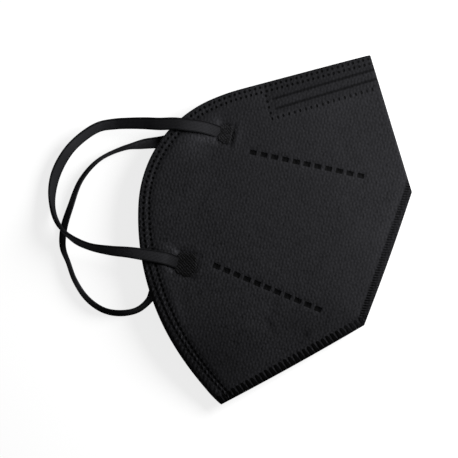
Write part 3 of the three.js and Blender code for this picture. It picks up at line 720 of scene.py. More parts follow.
class Tone:
    """A number or vector that changes over a surface. Sums and products of tones add Math nodes."""

    def __init__(self, finish, socket):
        self.finish, self.socket = finish, socket

    def math(self, operation, *others):
        return self.finish.math(operation, self, *others)

    def __add__(self, other):
        return self.math("ADD", other)

    def __sub__(self, other):
        return self.math("SUBTRACT", other)

    def __mul__(self, other):
        return self.math("MULTIPLY", other)

    def __truediv__(self, other):
        return self.math("DIVIDE", other)

    def __rsub__(self, other):
        return self.finish.math("SUBTRACT", other, self)

    def __abs__(self):
        return self.math("ABSOLUTE")

    __radd__, __rmul__ = __add__, __mul__

    def smooth(self, low, high):
        """Smooth step from 0 at low to 1 at high; low may be the greater."""
        start, end = (0.0, 1.0) if low < high else (1.0, 0.0)
        sockets = {"Value": self, "From Min": min(low, high), "From Max": max(low, high),
                   "To Min": start, "To Max": end}
        return self.finish.node("ShaderNodeMapRange", {"interpolation_type": "SMOOTHSTEP"}, sockets)

    def wave(self, start=0.0):
        """Cosine of this many cycles, from a start in degrees."""
        return (self * (2 * math.pi) + math.radians(start)).math("COSINE")

    def near(self, pitch):
        """Distance from the nearest multiple of the pitch."""
        return self.math("PINGPONG", pitch / 2)


class Finish:
    """A material under construction, with one Principled shader."""

    def __init__(self, name, roughness, specular, metallic=0.0):
        self.material = bpy.data.materials.new(name)
        self.material.use_nodes = True
        self.tree = self.material.node_tree
        self.shader = self.tree.nodes["Principled BSDF"]
        self.shader.inputs["Roughness"].default_value = roughness
        self.shader.inputs["Specular IOR Level"].default_value = specular
        self.shader.inputs["Metallic"].default_value = metallic

    def node(self, kind, settings=None, sockets=None, output=0):
        """One node: its settings first, then its sockets' values or links. Gives an output as a tone."""
        node = self.tree.nodes.new(kind)
        for key, value in (settings or {}).items():
            setattr(node, key, value)
        for key, value in (sockets or {}).items():
            if isinstance(value, Tone):
                self.tree.links.new(value.socket, node.inputs[key])
            else:
                node.inputs[key].default_value = value
        return Tone(self, node.outputs[output])

    def math(self, operation, *values):
        return self.node("ShaderNodeMath", {"operation": operation}, dict(enumerate(values)))

    def place(self):
        """X, Y and Z of the object's own space, in millimetres."""
        return self.split(self.scaled(self.node("ShaderNodeTexCoord", output="Object"), MM))

    def mapped(self, name):
        """The two numbers of one of the piece's own maps."""
        return self.split(self.node("ShaderNodeUVMap", {"uv_map": name}))[:2]

    def split(self, vector):
        node = self.node("ShaderNodeSeparateXYZ", None, {0: vector}).socket.node
        return [Tone(self, output) for output in node.outputs]

    def scaled(self, vector, factor):
        return self.node("ShaderNodeVectorMath", {"operation": "SCALE"}, {0: vector, "Scale": factor})

    def joined(self, x, y, z=0.0):
        return self.node("ShaderNodeCombineXYZ", None, {0: x, 1: y, 2: z})

    def noise(self, vector, period, detail, seed=0.0):
        """Noise from about -1 to 1, with patches of about the period across."""
        sockets = {"Vector": vector, "W": seed, "Scale": 1.0 / period, "Detail": detail, "Roughness": 0.55}
        value = self.node("ShaderNodeTexNoise", {"noise_dimensions": "4D"}, sockets)
        return (value - 0.5) * 4.0

    def ramp(self, tone, stops):
        """Straight lines between (place, value) stops, the last of which is where the ramp ends."""
        whole = stops[-1][0]
        most = max(value for _, value in stops)
        node = self.node("ShaderNodeValToRGB", None, {0: tone / whole}).socket.node
        points = node.color_ramp.elements
        for place, _ in stops[1:-1]:
            points.new(place / whole)
        for point, (place, value) in zip(points, stops):
            point.color = (value / most, value / most, value / most, 1.0)
        return Tone(self, node.outputs["Color"]) * most

    def paint(self, tint, factor):
        """Base colour: one tint times a factor that changes over the surface."""
        rgb = self.node("ShaderNodeRGB")
        rgb.socket.default_value = (*tint, 1.0)
        self.link(self.scaled(rgb, factor), "Base Color")

    def link(self, tone, socket):
        self.tree.links.new(tone.socket, self.shader.inputs[socket])

    def emboss(self, height):
        """Bump from a height in millimetres."""
        sockets = {"Height": height, "Strength": 1.0, "Distance": 1 / MM}
        self.link(self.node("ShaderNodeBump", None, sockets), "Normal")


# Lengths in the finishes are in millimetres and headings in degrees. The bond pattern's grid has a
# heading and a spacing for each direction. Its waves have their cycles along both, their share and
# their start in degrees.
FIBRE_HEADING = 23.1
# The grain's contrast is painted stronger towards this heading, away from the lamp: painted light for its
# raking light.
RAKING_HEADING = 248.0         # the cloth's grain shows more towards here
BOND_GRID = [(39.2, 2.97), (-50.5, 2.86)]
BOND_WAVES = [(2.0, 1.0, 1.0, 3), (2.0, 0.0, 0.85, -63), (2.0, -1.0, 0.5, 33), (1.0, 2.0, 0.44, 30),
              (1.0, 1.0, 0.36, 177), (1.0, -2.0, 0.34, -111), (0.0, 2.0, 0.22, -10), (1.0, -1.0, 0.2, -38)]
BOND_PLACE = (12.76, 10.43)    # shift of the pattern over the cloth
HEM_DOT, LOW_DOT, END_DOT = (0.52, 0.20), (0.66, 0.22), (0.56, 0.22)   # radius, half the soft edge
LOW_ROW = (14.05, 0.0245)      # dots below the nose wire: distance in, and its growth
LOW_START, LOW_PITCH = 2.9, 2.394
END_ROW, END_START, END_PITCH = 46.1, 0.5, 2.45        # dots across the end of the nose wire
WAFFLE = 0.62                  # spacing of the waffle in a weld mark
MARK_BLUR = 0.16               # half the width of a weld mark's soft edge


def turned(x, y, angle, length=1.0):
    """Cycles along a heading in degrees, of waves of that length; a run in millimetres where it is 1."""
    along = heading(angle) / length
    return x * float(along[0]) + y * float(along[1])


def apart(a, b):
    """Length of a step made of a and, square to it, b."""
    return (a * a + b * b).math("SQRT")


def straight_run(x, y, start, turn):
    """Run along a straight line from a pattern point, and distance to its left, in millimetres."""
    start_x, start_y = ((start + ORIGIN) * MM).tolist()
    x, y = x - start_x, y - start_y
    return turned(x, y, turn), turned(x, y, turn + 90)


def rectangle(along, across, half_length, half_width, blur):
    """1 inside a rectangle and 0 outside, with a blurred edge."""
    return (smooth(abs(along), half_length + blur, half_length - blur)
            * smooth(abs(across), half_width + blur, half_width - blur))


def dots(step, aside, radius, blur):
    """1 inside round dots, from the distances to a dot along and across its row."""
    return smooth(apart(step, aside), radius + blur, radius - blur)


def hatching(x, y):
    """The welding horn's knurl, from -1 to 1: strong lines one way and weaker ones across them."""
    return sum(turned(x, y, turn, spacing * MM).wave() * part for turn, spacing, part in HATCH)


def bond_lattice(x, y):
    """The cloth's embossed bond pattern, from about -2 to 2.

    A nearly square lattice of 2.9 mm, turned 39 degrees. Its cell holds two pairs of narrow grains
    that lean to either side, made by eight cosine waves across the lattice's own directions."""
    s, t = (turned(x, y, turn, length) for turn, length in BOND_GRID)
    return sum((s * a + t * b).wave(start) * part for a, b, part, start in BOND_WAVES)


def cloth_grain(finish, x, y, z):
    """Bonds, fibres, specks and faint patches: their tone, with the grain's contrast painted stronger where
    the light rakes, their relief, and the specks alone.
    """
    space = finish.joined(x, y, z)
    along, across = turned(x, y, FIBRE_HEADING), turned(x, y, FIBRE_HEADING + 90)
    drift = finish.noise(space, 5.0, 1.0, seed=6.0) * 0.3
    bonds = bond_lattice(x + BOND_PLACE[0] + drift, y + BOND_PLACE[1] - drift)
    fibres = finish.noise(finish.joined(along * 2.2, across, z), 1.3, 2.0)
    specks = finish.noise(finish.joined(along * 1.2, across * 0.85, z), 0.85, 1.0, seed=4.0)
    patches = finish.noise(space, 8.0, 3.0, seed=9.0)
    # Painted light: the grain's contrast is painted stronger where the lamp's light rakes across the cloth.
    raking_light_contrast = 1.0 + smooth(turned(x, y, RAKING_HEADING), -20.0, 40.0) * 0.45
    tone = 1.0 + (bonds * 0.115 + fibres * 0.12 + specks * 0.26) * raking_light_contrast + patches * 0.05
    return tone, bonds * 0.014 + fibres * 0.026 + specks * 0.012, specks


def painted_light_and_shade(x, y, tone):
    """The tone under all painted light and shade patches: each fades by a smooth step from its middle to its
    outline.
    """
    for place_x, place_y, turn, long, wide, amount in PAINTED_LIGHT_PATCHES:
        along, across = straight_run(x, y, (place_x, place_y), turn)
        reach = apart(along / (long * MM), across / (wide * MM))
        tone = tone * (1.0 + smooth(reach, 1.0, 0.0) * amount)
    return tone


def hem_marks(finish):
    """The two rows of dots along the face edge, the shade of the rim, and painted light beside them: painted
    highlights on the ridges and beads, painted shade in the valley, painted light and shade on the jaw's
    folds.

    Reads the cloth's own map of run along the face edge and distance from it, in metres."""
    run, inset = finish.mapped("face_edge")
    along, face = run * MM, inset * MM
    first, second = (row * MM for row in hem_rows(run))
    past_ear, jaw = smooth(along, 62.0, 85.0), smooth(along, 112.0, 170.0)
    pitch, dot_place = DOT_PITCH * MM, dot_run(run) * MM
    aside = abs(face - first).math("MINIMUM", abs(face - second))
    step = (dot_place + (face - first) * jaw * 0.35).near(pitch) * (1.0 - jaw * 0.35)
    hem_dots = dots(step, aside, *HEM_DOT) * smooth(along, 0.3, 0.9)

    rim = smooth(face - jaw * 0.9, 0.85, 0.10) * (0.5 + smooth(along, 60.0, 110.0) * 0.22)
    jaw_hem = smooth(along, 125.0, 165.0) * smooth(face, 8.6, 6.6)
    between = abs(face - (first + second) * 0.5)
    # Painted highlight on the ridge between the rows, and painted shade in the valley past the second row.
    ridge_highlight = smooth(between, 0.75, 0.15) * past_ear * (1.0 - smooth(along, 115.0, 150.0) * 0.6)
    valley_shade = smooth(abs(face - (second + 1.2)), 1.4, 0.3) * past_ear
    ridges = (smooth(between, 0.9, 0.2) + smooth(abs(face - (first - 1.15)), 0.7, 0.2)
              + smooth(abs(face - (second + 1.1)), 0.7, 0.2) * 0.7)
    cycles = (dot_place + (face - first) * 0.9) / pitch
    # Painted highlights on the ridges between dots, and painted light and shade along the slanted folds at
    # the jaw.
    bead_highlights = smooth(cycles.wave(180.0), 0.0, 0.9) * ridges * smooth(along, 85.0, 150.0)
    fold_light_and_shade = cycles.wave() * jaw * smooth(face, 7.5, 5.5)
    shade = (1.0 + ridge_highlight * 0.34) * (1.0 - valley_shade * 0.20) * (1.0 - rim) * (1.0 - jaw_hem * 0.40)
    return hem_dots, shade * (1.0 + fold_light_and_shade * 0.16) * (1.0 + bead_highlights * (0.9 + jaw * 1.5))


def nose_marks(x, y):
    """The frame of dots round the nose wire, the two grooves beside it, and the shade of both."""
    run, inset = straight_run(x, y, NOSE_CORNER, FACE_HEADING)
    from_row = inset - (run * LOW_ROW[1] + LOW_ROW[0])
    low_dots = dots((run - LOW_START).near(LOW_PITCH) * 1.5, from_row, *LOW_DOT)
    low_dots = low_dots * smooth(run, 1.6, 2.2) * smooth(run, 47.2, 46.9)
    end_dots = dots((inset - END_START).near(END_PITCH), (run - END_ROW) * 1.1, *END_DOT)
    end_dots = end_dots * smooth(inset, 4.2, 4.7) * smooth(inset, 14.2, 13.8)
    framed = smooth(run, 46.4, 45.6) * smooth(inset, 14.2, 13.4)
    over_wire = smooth(inset - run * WIRE_GROOVES[0][1], 6.9, 5.7)
    lines = [inset - (run * lean + start * MM) for start, lean in WIRE_GROOVES]
    grooves = sum(smooth(abs(line), 0.85, 0.1) for line in lines) * smooth(run, 44.4, 43.4)
    shade = (1.0 - grooves * 0.62) * (1.0 - framed * (0.18 + over_wire * 0.14))
    return low_dots + end_dots, grooves, shade


def flange_marks(finish, x, y, z):
    """Shade and depth of the grooves across the welded chin and front flanges."""
    (chin_run, chin), (front_run, front) = (
        straight_run(x, y, edge.start, math.degrees(math.atan2(*edge.tangent[::-1])))
        for edge in (EDGES["chin"].stretches[0], EDGES["front"].stretches[0]))
    pitch = RIB_PITCH * MM
    from_rib = (chin_run + chin * RIB_LEAN).near(pitch)
    groove, rim = smooth(from_rib - chin * 0.07, 0.02, 0.32), smooth(chin, 1.6, 0.6)
    rounded = (pitch / 2 - from_rib) * (pitch / 2 - from_rib) * 0.9
    depth = 3.8 - rounded + finish.noise(finish.joined(x, y, z), 3.0, 1.0, seed=2.0) * 0.12
    chin_band = smooth(chin - depth, 0.25, -0.20) * (1.0 - smooth(chin_run, 54.0, 68.0) * 0.3)
    shade = 1.0 - chin_band * (0.10 + (groove * (1.0 - rim * 0.5) + rim * 0.5) * 0.84)

    fine = smooth((front_run + front * 0.25).near(pitch / 2), 0.15, 0.42)
    beat = 0.62 + smooth(front_run, 34.0, 4.0) * 0.38
    front_band = smooth(front, 3.6, 2.9) * smooth(chin, 2.0, 5.0)
    ribbed = smooth(front, 0.2, 2.2) * (0.12 + fine * beat * 0.68)
    shade = shade * (1.0 - front_band * (0.12 + ribbed + fine * 0.12))
    return shade, chin_band * groove * 0.10 + front_band * fine * 0.05


def row_marks(x, y):
    """1 inside each weld mark of the two rows. A mark's middle is the nearest multiple of the pitch."""
    rows = []
    for row in MARK_ROWS:
        along, across = straight_run(x, y, (row["x"], row["y"]), row["angle"])
        pitch = row["pitch"] * MM
        middle = (MARKS_PER_ROW - 1) / 2 * pitch
        inside = smooth(abs(along - middle), middle + 2.3, middle + 2.2)
        half_length, half_width = row["length"] * MM / 2, row["width"] * MM / 2
        rows.append(rectangle(along.near(pitch), across, half_length, half_width, MARK_BLUR) * inside)
    return sum(rows)


def weld_rings(x, y, specks):
    """1 round the two welds of the upper half, where the horn's hatching fades out into the cloth."""
    rings = []
    for name in ("right_upper", "right_lower"):
        weld = LOOP_WELDS[name]
        along, across = straight_run(x, y, (weld["x"], weld["y"]), weld["heading"])
        reach = apart(along / (weld["length"] * MM / 2), across / (weld["width"] * MM / 2))
        rings.append(smooth(reach + specks * 0.08, 1.42, 0.95))
    return sum(rings)


def cloth_finish(colours):
    """Black spunbonded filter cloth: embossed bond pattern, fibres, and everything welded into it."""
    finish = Finish("filter_cloth", roughness=0.88, specular=0.03)
    x, y, z = finish.place()
    tone, relief, specks = cloth_grain(finish, x, y, z)
    hem_dots, hem_shade = hem_marks(finish)
    wire_dots, grooves, wire_shade = nose_marks(x, y)
    flange_shade, flange_grooves = flange_marks(finish, x, y, z)
    marks = row_marks(x, y)
    waffle = turned(x, y, 55.0, WAFFLE).wave() * turned(x, y, -35.0, WAFFLE).wave() * marks

    pressed = (hem_dots + wire_dots + marks).math("MINIMUM", 1.0)
    shade = (1.0 - pressed * (0.88 - waffle * 0.14)) * hem_shade * wire_shade * flange_shade
    shade = shade * (1.0 - weld_rings(x, y, specks) * (0.38 - hatching(x, y) * 0.42))
    # The cloth's colour carries the painted highlights and painted shade of the patches.
    finish.paint(colours.cloth, painted_light_and_shade(x, y, tone) * shade)
    finish.link(0.88 - pressed * 0.26, "Roughness")
    finish.emboss(relief - pressed * 0.16 + waffle * 0.03 - grooves * 0.05 - flange_grooves)
    return finish.material


def lining_finish(colours):
    """Soft lining inside the mask: fine fibres and a faint bond pattern."""
    finish = Finish("lining_cloth", roughness=0.94, specular=0.03)
    x, y, z = finish.place()
    space = finish.joined(x, y, z)
    fibres = finish.noise(space, 0.9, 3.0, seed=1.0)
    patches = finish.noise(space, 9.0, 2.0, seed=5.0)
    bonds = turned(x, y, 45.0, 1.6).wave() * turned(x, y, -45.0, 1.6).wave()
    finish.paint(colours.lining, 1.0 + fibres * 0.14 + patches * 0.08 + bonds * 0.12)
    finish.emboss(fibres * 0.03 + bonds * 0.02)
    return finish.material


def band_finish(colours, side):
    """Knitted elastic: fine wales along the band, courses across it, painted shade on its rolled edges, and
    painted light and shade along its run and from side to side.

    Reads the band's own map: across from 0 to 1 on each face, and run along it in metres."""
    finish = Finish(f"knit_band_{side}", roughness=0.85, specular=0.0)
    across, run = finish.mapped("knit")
    run = run * MM
    wales = (across * 9.0).wave()
    courses = (run / 0.55 + wales * 0.12).wave()
    threads = finish.noise(finish.joined(across * 6.0, run * 0.9), 1.0, 2.0)
    slub = finish.noise(finish.joined(across * 0.5, run * 0.06), 1.0, 1.0, seed=3.0)
    tone = 1.0 + wales * 0.09 + courses * 0.06 + threads * 0.09 + slub * 0.06
    # Painted light and shade: along the run from the band's table, and across it lighter towards the outer
    # edge.
    lean = finish.ramp(run, BAND_SIDE_PAINTED_LIGHT[side])
    run_painted_light = finish.ramp(run, BAND_PAINTED_LIGHT[side]) * (1.0 + (across - 0.5) * lean).math("MAXIMUM", 0.2)
    # The rolled edges are painted darker, painted shade, less so on the outer edge, which is painted lighter.
    edge = smooth(abs(across - 0.5), 0.30, 0.46)
    finish.paint(colours.band, tone * run_painted_light * (1.0 - edge * (0.72 - across * lean * 0.25)))
    finish.emboss(wales * 0.030 + courses * 0.012 + threads * 0.010)
    return finish.material


def fused_finish(colours, name, floor, crests, worn):
    """Cloth and band melted together under a knurled horn: dark, a little glossy on the crests.

    floor and crests are how light the troughs of the knurl are, and how much lighter its crests;
    worn is how far its even lines give way to uneven grit."""
    finish = Finish(name, roughness=0.6, specular=0.06)
    x, y, z = finish.place()
    space = finish.joined(x, y, z)
    slip = finish.noise(space, 1.4, 1.0, seed=8.0) * (0.26 + worn * 0.6)
    knurl = hatching(x + slip, y - slip)
    grit = finish.noise(space, 0.42, 2.0, seed=7.0)
    crest = smooth(knurl * (0.7 - worn) + grit * (0.65 + worn * 1.5), -0.5, 1.0)
    burnt = finish.noise(space, 4.0, 1.0, seed=3.0)
    frayed = smooth(finish.mapped("pad")[0] + grit * 0.06, 0.82, 1.04)
    fused = (floor + crest * crests + grit * 0.10) * (1.0 - burnt * 0.3)
    finish.paint(colours.fused, fused + frayed * (floor + crests * 0.5 + crest * 0.5 + grit * 0.2 - fused))
    finish.link(0.72 - crest * 0.22, "Roughness")
    finish.emboss(knurl * 0.025 + grit * (0.02 + worn * 0.12))
    return finish.material


def wire_finish(colours):
    """Brushed aluminium strip with fine scratches along it."""
    finish = Finish("nose_strip_aluminium", roughness=0.38, specular=0.5, metallic=1.0)
    x, y, z = finish.place()
    along, across = turned(x, y, FACE_HEADING), turned(x, y, FACE_HEADING + 90)
    scratches = finish.noise(finish.joined(along * 0.05, across * 6.0, z * 6.0), 1.0, 2.0)
    finish.paint(colours.wire, 1.0 + scratches * 0.05)
    finish.link(0.38 + scratches * 0.06, "Roughness")
    finish.emboss(scratches * 0.01)
    return finish.material


def floor_finish(colours, glow):
    """Matt white light table with a barely visible mottle."""
    finish = Finish("studio_board", roughness=0.95, specular=0.1)
    mottle = finish.noise(finish.joined(*finish.place()), 60.0, 1.0)
    finish.paint(colours.floor, 1.0 + mottle * 0.002)
    finish.shader.inputs["Emission Color"].default_value = (1.0, 1.0, 1.0, 1.0)
    finish.shader.inputs["Emission Strength"].default_value = glow
    return finish.material


# Pieces.

# Rings of each surface, from its edge in: (distances from the edge, level), then in how many steps
# they go on to the middle, and (share of the way, level that holds from there).
ROUNDING = [0, 0.00006, 0.00016, 0.0003, 0.0005, 0.0008]
FINE = np.concatenate([ROUNDING, ROUNDING[-1] + 0.0003 * np.arange(1, 19)])
UPPER_RINGS = (
    [(FINE, 0), (np.arange(0.0068, 0.0141, 0.0006), 1)],
    58, [(0, 1), (0.3, 2), (0.65, 3)],
)
LOWER_RINGS = (
    [([0, 0.00008, 0.0002, 0.0004], 0), (np.arange(0.0008, 0.0062, 0.00045), 1),
     (np.arange(0.0070, 0.0141, 0.0010), 2)],
    34, [(0, 2), (0.5, 3)],
)
LINING_RINGS = (
    [([0, 0.0004], 0), ([0.0010, 0.0017], 1), (np.arange(0.0026, 0.0090, 0.0012), 2)],
    22, [(0, 2), (0.45, 3)],
)
RIM_ROWS = 6


def ring_places(rings, bulge, lined):
    """Places and levels of a surface's rings: insets of the four edges, then shares of the way in.

    The lining starts past the welds and the fold. At the face edge all leave room for the rim."""
    bands, steps, levels = rings
    places = []
    for distances, level in bands:
        for distance in distances:
            insets = {name: distance + (start if lined else 0.0) for name, (start, _) in LINING.items()}
            places.append(({**insets, "face": distance + bulge}, level))
    for way in np.arange(1, steps) / steps:
        places.append((way, [level for start, level in levels if way >= start][-1]))
    return places


def disc(weave, side, sizes, relief, rings, edge_ring=None, lined=False):
    """One half's cloth, outside or lining: closed rings from its edge in to its middle.

    Where edge_ring is given, its point numbers are used for the outermost ring."""
    kind, flip = int(lined), (side < 0) != lined
    rows, last = [], None
    for place, level in ring_places(rings, sizes.rim_bulge, lined):
        if isinstance(place, dict):
            plan = inset_ring(place, level)
            last = place
        else:
            plan = inset_ring(last, level)
            plan = plan + place * (MIDDLE - plan)
        heights = cloth_heights(plan, sizes, relief, side, lined)
        points = in_frame(bowed(plan, sizes.edge_bow), heights)
        if edge_ring is not None and not rows:
            first = edge_ring.copy()
            first[FACE_FIRST + 1:] = weave.add(points[FACE_FIRST + 1:])
            rows.append(first)
        else:
            rows.append(weave.add(points))
    middle = MIDDLE[None, :]
    centre = weave.add(in_frame(middle, cloth_heights(middle, sizes, relief, side, lined)))
    for outer, inner in zip(rows, rows[1:]):
        weave.rings(outer, inner, kind, flip)
    weave.fan(rows[-1], centre, kind, flip)
    return rows[0]


def rim(weave, side, outside, inside, shared, sizes):
    """The cut rim of one half at the face edge, from its outer cloth round to its lining.

    Points go from the outer edge to the lining's edge by a half cosine in height, and bulge out by
    a half sine. The two end columns belong to both halves, so the second half gets them as shared."""
    face = EDGES["face"]
    points = weave.all_points()
    start, end = points[outside], points[inside]
    out = -face.at(np.arange(SAMPLES["face"] + 1) * face.length / SAMPLES["face"])[2]
    rows = [outside]
    for k in range(1, RIM_ROWS):
        turn = math.pi * k / RIM_ROWS
        mixed = start + (end - start) * (1 - math.cos(turn)) / 2
        mixed[:, :2] += out * sizes.rim_bulge * math.sin(turn)
        if shared is None:
            rows.append(weave.add(mixed))
        else:
            row = np.empty(len(mixed), int)
            row[[0, -1]] = shared[k - 1]
            row[1:-1] = weave.add(mixed[1:-1])
            rows.append(row)
    rows.append(inside)
    for above, below in zip(rows, rows[1:]):
        weave.rows(below, above, 0, side < 0)
    return [row[[0, -1]] for row in rows[1:-1]]


class MASK_OT_body(bpy.types.Operator):
    """Builds the folded cloth body: two halves, their lining and the open rim at the face edge"""

    bl_idname = "mask.body"
    bl_label = "Mask body"

    def execute(self, context):
        scene = context.scene
        sizes, relief, colours = scene.mask_cloth, scene.mask_relief, scene.mask_colours
        weave = Weave()
        right = disc(weave, 1, sizes, relief, UPPER_RINGS)
        left = disc(weave, -1, sizes, relief, LOWER_RINGS, right)
        right_lining = disc(weave, 1, sizes, relief, LINING_RINGS, None, True)
        left_lining = disc(weave, -1, sizes, relief, LINING_RINGS, right_lining, True)
        mouth = [np.append(row[FACE_FIRST:], row[0]) for row in (right, left, right_lining, left_lining)]
        ends = rim(weave, 1, mouth[0], mouth[2], None, sizes)
        rim(weave, -1, mouth[1], mouth[3], ends, sizes)

        plan = weave.all_points()[:, :2] - ORIGIN
        run, inset = EDGES["face"].reach(plan)
        edge_map = np.column_stack([run, np.maximum(inset, 0)])
        finishes = [cloth_finish(colours), lining_finish(colours)]
        body = make_piece("mask_body_cloth", weave, finishes, {"face_edge": edge_map})
        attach(body, BODY)
        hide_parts("mask_body")
        return {"FINISHED"}


ROUTE_STEPS = 60               # points between two rows of a route
SECTION = 28                   # points round a band
SIDE_POWER, FACE_POWER = 0.62, 0.30          # of the section's cosine and sine
HOLLOW = 0.20                  # share by which a band is thinner in its middle
PRESSED_END = 0.45             # share of its thickness that a band has at its very end
ROLL_POWER = 24                # how sharply the roll sets in where the band stands on its edge


def band_route(rows):
    """Points along a band's route with the tilt at each, and the run at which each lies.

    The route is a centripetal Catmull-Rom curve through the rows: between two of them a cubic whose
    end slopes come from the knots' spacing, which is the square root of the distance between them."""
    rows = np.column_stack([rows[:, :2] + ORIGIN, rows[:, 2:]])
    knots = np.vstack([2 * rows[0] - rows[1], rows, 2 * rows[-1] - rows[-2]])
    gaps = np.sqrt(np.linalg.norm(np.diff(knots[:, :3], axis=0), axis=1))[:, None]
    a, b, c = gaps[:-2], gaps[1:-1], gaps[2:]
    p0, p1, p2, p3 = knots[:-3], knots[1:-2], knots[2:-1], knots[3:]
    leave = ((p1 - p0) / a - (p2 - p0) / (a + b) + (p2 - p1) / b) * b
    arrive = ((p2 - p1) / b - (p3 - p1) / (b + c) + (p3 - p2) / c) * b
    t = (np.arange(ROUTE_STEPS) / ROUTE_STEPS)[:, None, None]
    curve = ((2 * t**3 - 3 * t**2 + 1) * p1 + (t**3 - 2 * t**2 + t) * leave
             + (3 * t**2 - 2 * t**3) * p2 + (t**3 - t**2) * arrive)
    curve = np.vstack([curve.transpose(1, 0, 2).reshape(-1, 4), rows[-1:]])
    runs = np.concatenate([[0], np.cumsum(np.linalg.norm(np.diff(curve[:, :3], axis=0), axis=1))])
    return curve, runs


def band_mesh(name, route, sizes, finish):
    """A flat band: a rounded rectangle carried along its route and turned by the tilt at each station.

    The section's corner points follow a superellipse, cosine and sine to small powers, and both
    faces are a little hollow, like a knitted band whose edges roll."""
    curve, runs = band_route(route)
    length = float(runs[-1])
    spaced = np.linspace(0, length, sizes.stations)
    line = np.column_stack([np.interp(spaced, runs, curve[:, k]) for k in range(3)])
    tilt = np.radians(np.interp(spaced, runs, curve[:, 3]))
    tangent = np.gradient(line, spaced, axis=0)
    tangent /= np.linalg.norm(tangent, axis=1)[:, None]
    outer = np.cross(tangent, [0.0, 0.0, 1.0])
    outer /= np.linalg.norm(outer, axis=1)[:, None]
    over = np.cross(outer, tangent)
    across = np.cos(tilt)[:, None] * outer + np.sin(tilt)[:, None] * over
    up = np.cross(tangent, across)

    turn = 2 * np.pi * (np.arange(SECTION) + 0.5) / SECTION
    wide = np.sign(np.cos(turn)) * np.abs(np.cos(turn)) ** SIDE_POWER * sizes.width / 2
    thick = np.sign(np.sin(turn)) * np.abs(np.sin(turn)) ** FACE_POWER * sizes.thickness / 2
    thick = thick * (1 - HOLLOW + HOLLOW * (wide / sizes.width * 2) ** 2)
    ends = np.minimum(spaced, length - spaced)
    flat = PRESSED_END + (1 - PRESSED_END) * smooth(ends, 0.0004, 0.0030)
    flat = flat * (1 + sizes.roll * np.sin(tilt) ** ROLL_POWER)
    points = (line[:, None] + wide[None, :, None] * across[:, None]
              + (flat[:, None] * thick[None, :])[..., None] * up[:, None])
    weave = Weave()
    rings = [weave.add(ring) for ring in points]
    first, last = weave.add(line[:1]), weave.add(line[-1:])
    for before, after in zip(rings, rings[1:]):
        weave.rings(before, after, 0, True)
    weave.fan(rings[0], first, 0, False)
    weave.fan(rings[-1], last, 0, True)
    map_across = np.tile(wide / sizes.width + 0.5, sizes.stations)
    map_run = np.repeat(spaced, SECTION)
    knit = np.column_stack([np.append(map_across, [0.5, 0.5]), np.append(map_run, [0.0, length])])
    band = make_piece(name, weave, [finish], {"knit": knit})
    return band, line, length


class MASK_OT_ear_loops(bpy.types.Operator):
    """Builds the two ear loops, flat knitted bands that run from weld to weld"""

    bl_idname = "mask.ear_loops"
    bl_label = "Ear loops"

    def execute(self, context):
        sizes, colours = context.scene.mask_bands, context.scene.mask_colours
        for side, route in (("right", RIGHT_ROUTE), ("left", LEFT_ROUTE)):
            band, line, length = band_mesh(f"ear_loop_{side}_band", route, sizes, band_finish(colours, side))
            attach(band, BODY)
            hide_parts(f"ear_loop_{side}")
        return {"FINISHED"}


PAD_TURNS = 144                # points round a weld
PAD_RADII = np.concatenate([np.linspace(1.0, 0.9, 5), np.linspace(0.88, 0.0, 26)[:-1]])
PAD_BULGES = [(0.00022, 5, 2), (0.00016, 11, 0), (0.00009, 23, 1)]     # height, waves round, start
PAD_FOOT, PAD_SKIRT, PAD_SUNK = 0.0006, 0.0003, 0.00012                # how deep it sits in the cloth
PAD_UNDERCUT = 0.97            # share of the radius that the foot has
PAD_LEVEL, KNURL_FULL = 0.84, 0.86           # shares inside which the pad is level and fully knurled

# How each pair of welds looks: crispness of the knurl, then its finish's floor, crests and wear. The
# lower pair's finish is a darker copy: painted shade.
WELD_LOOKS = {"upper": (0.2, 0.40, 1.10, 0.32), "lower": (0.55, 0.0, 1.20, 0.20)}


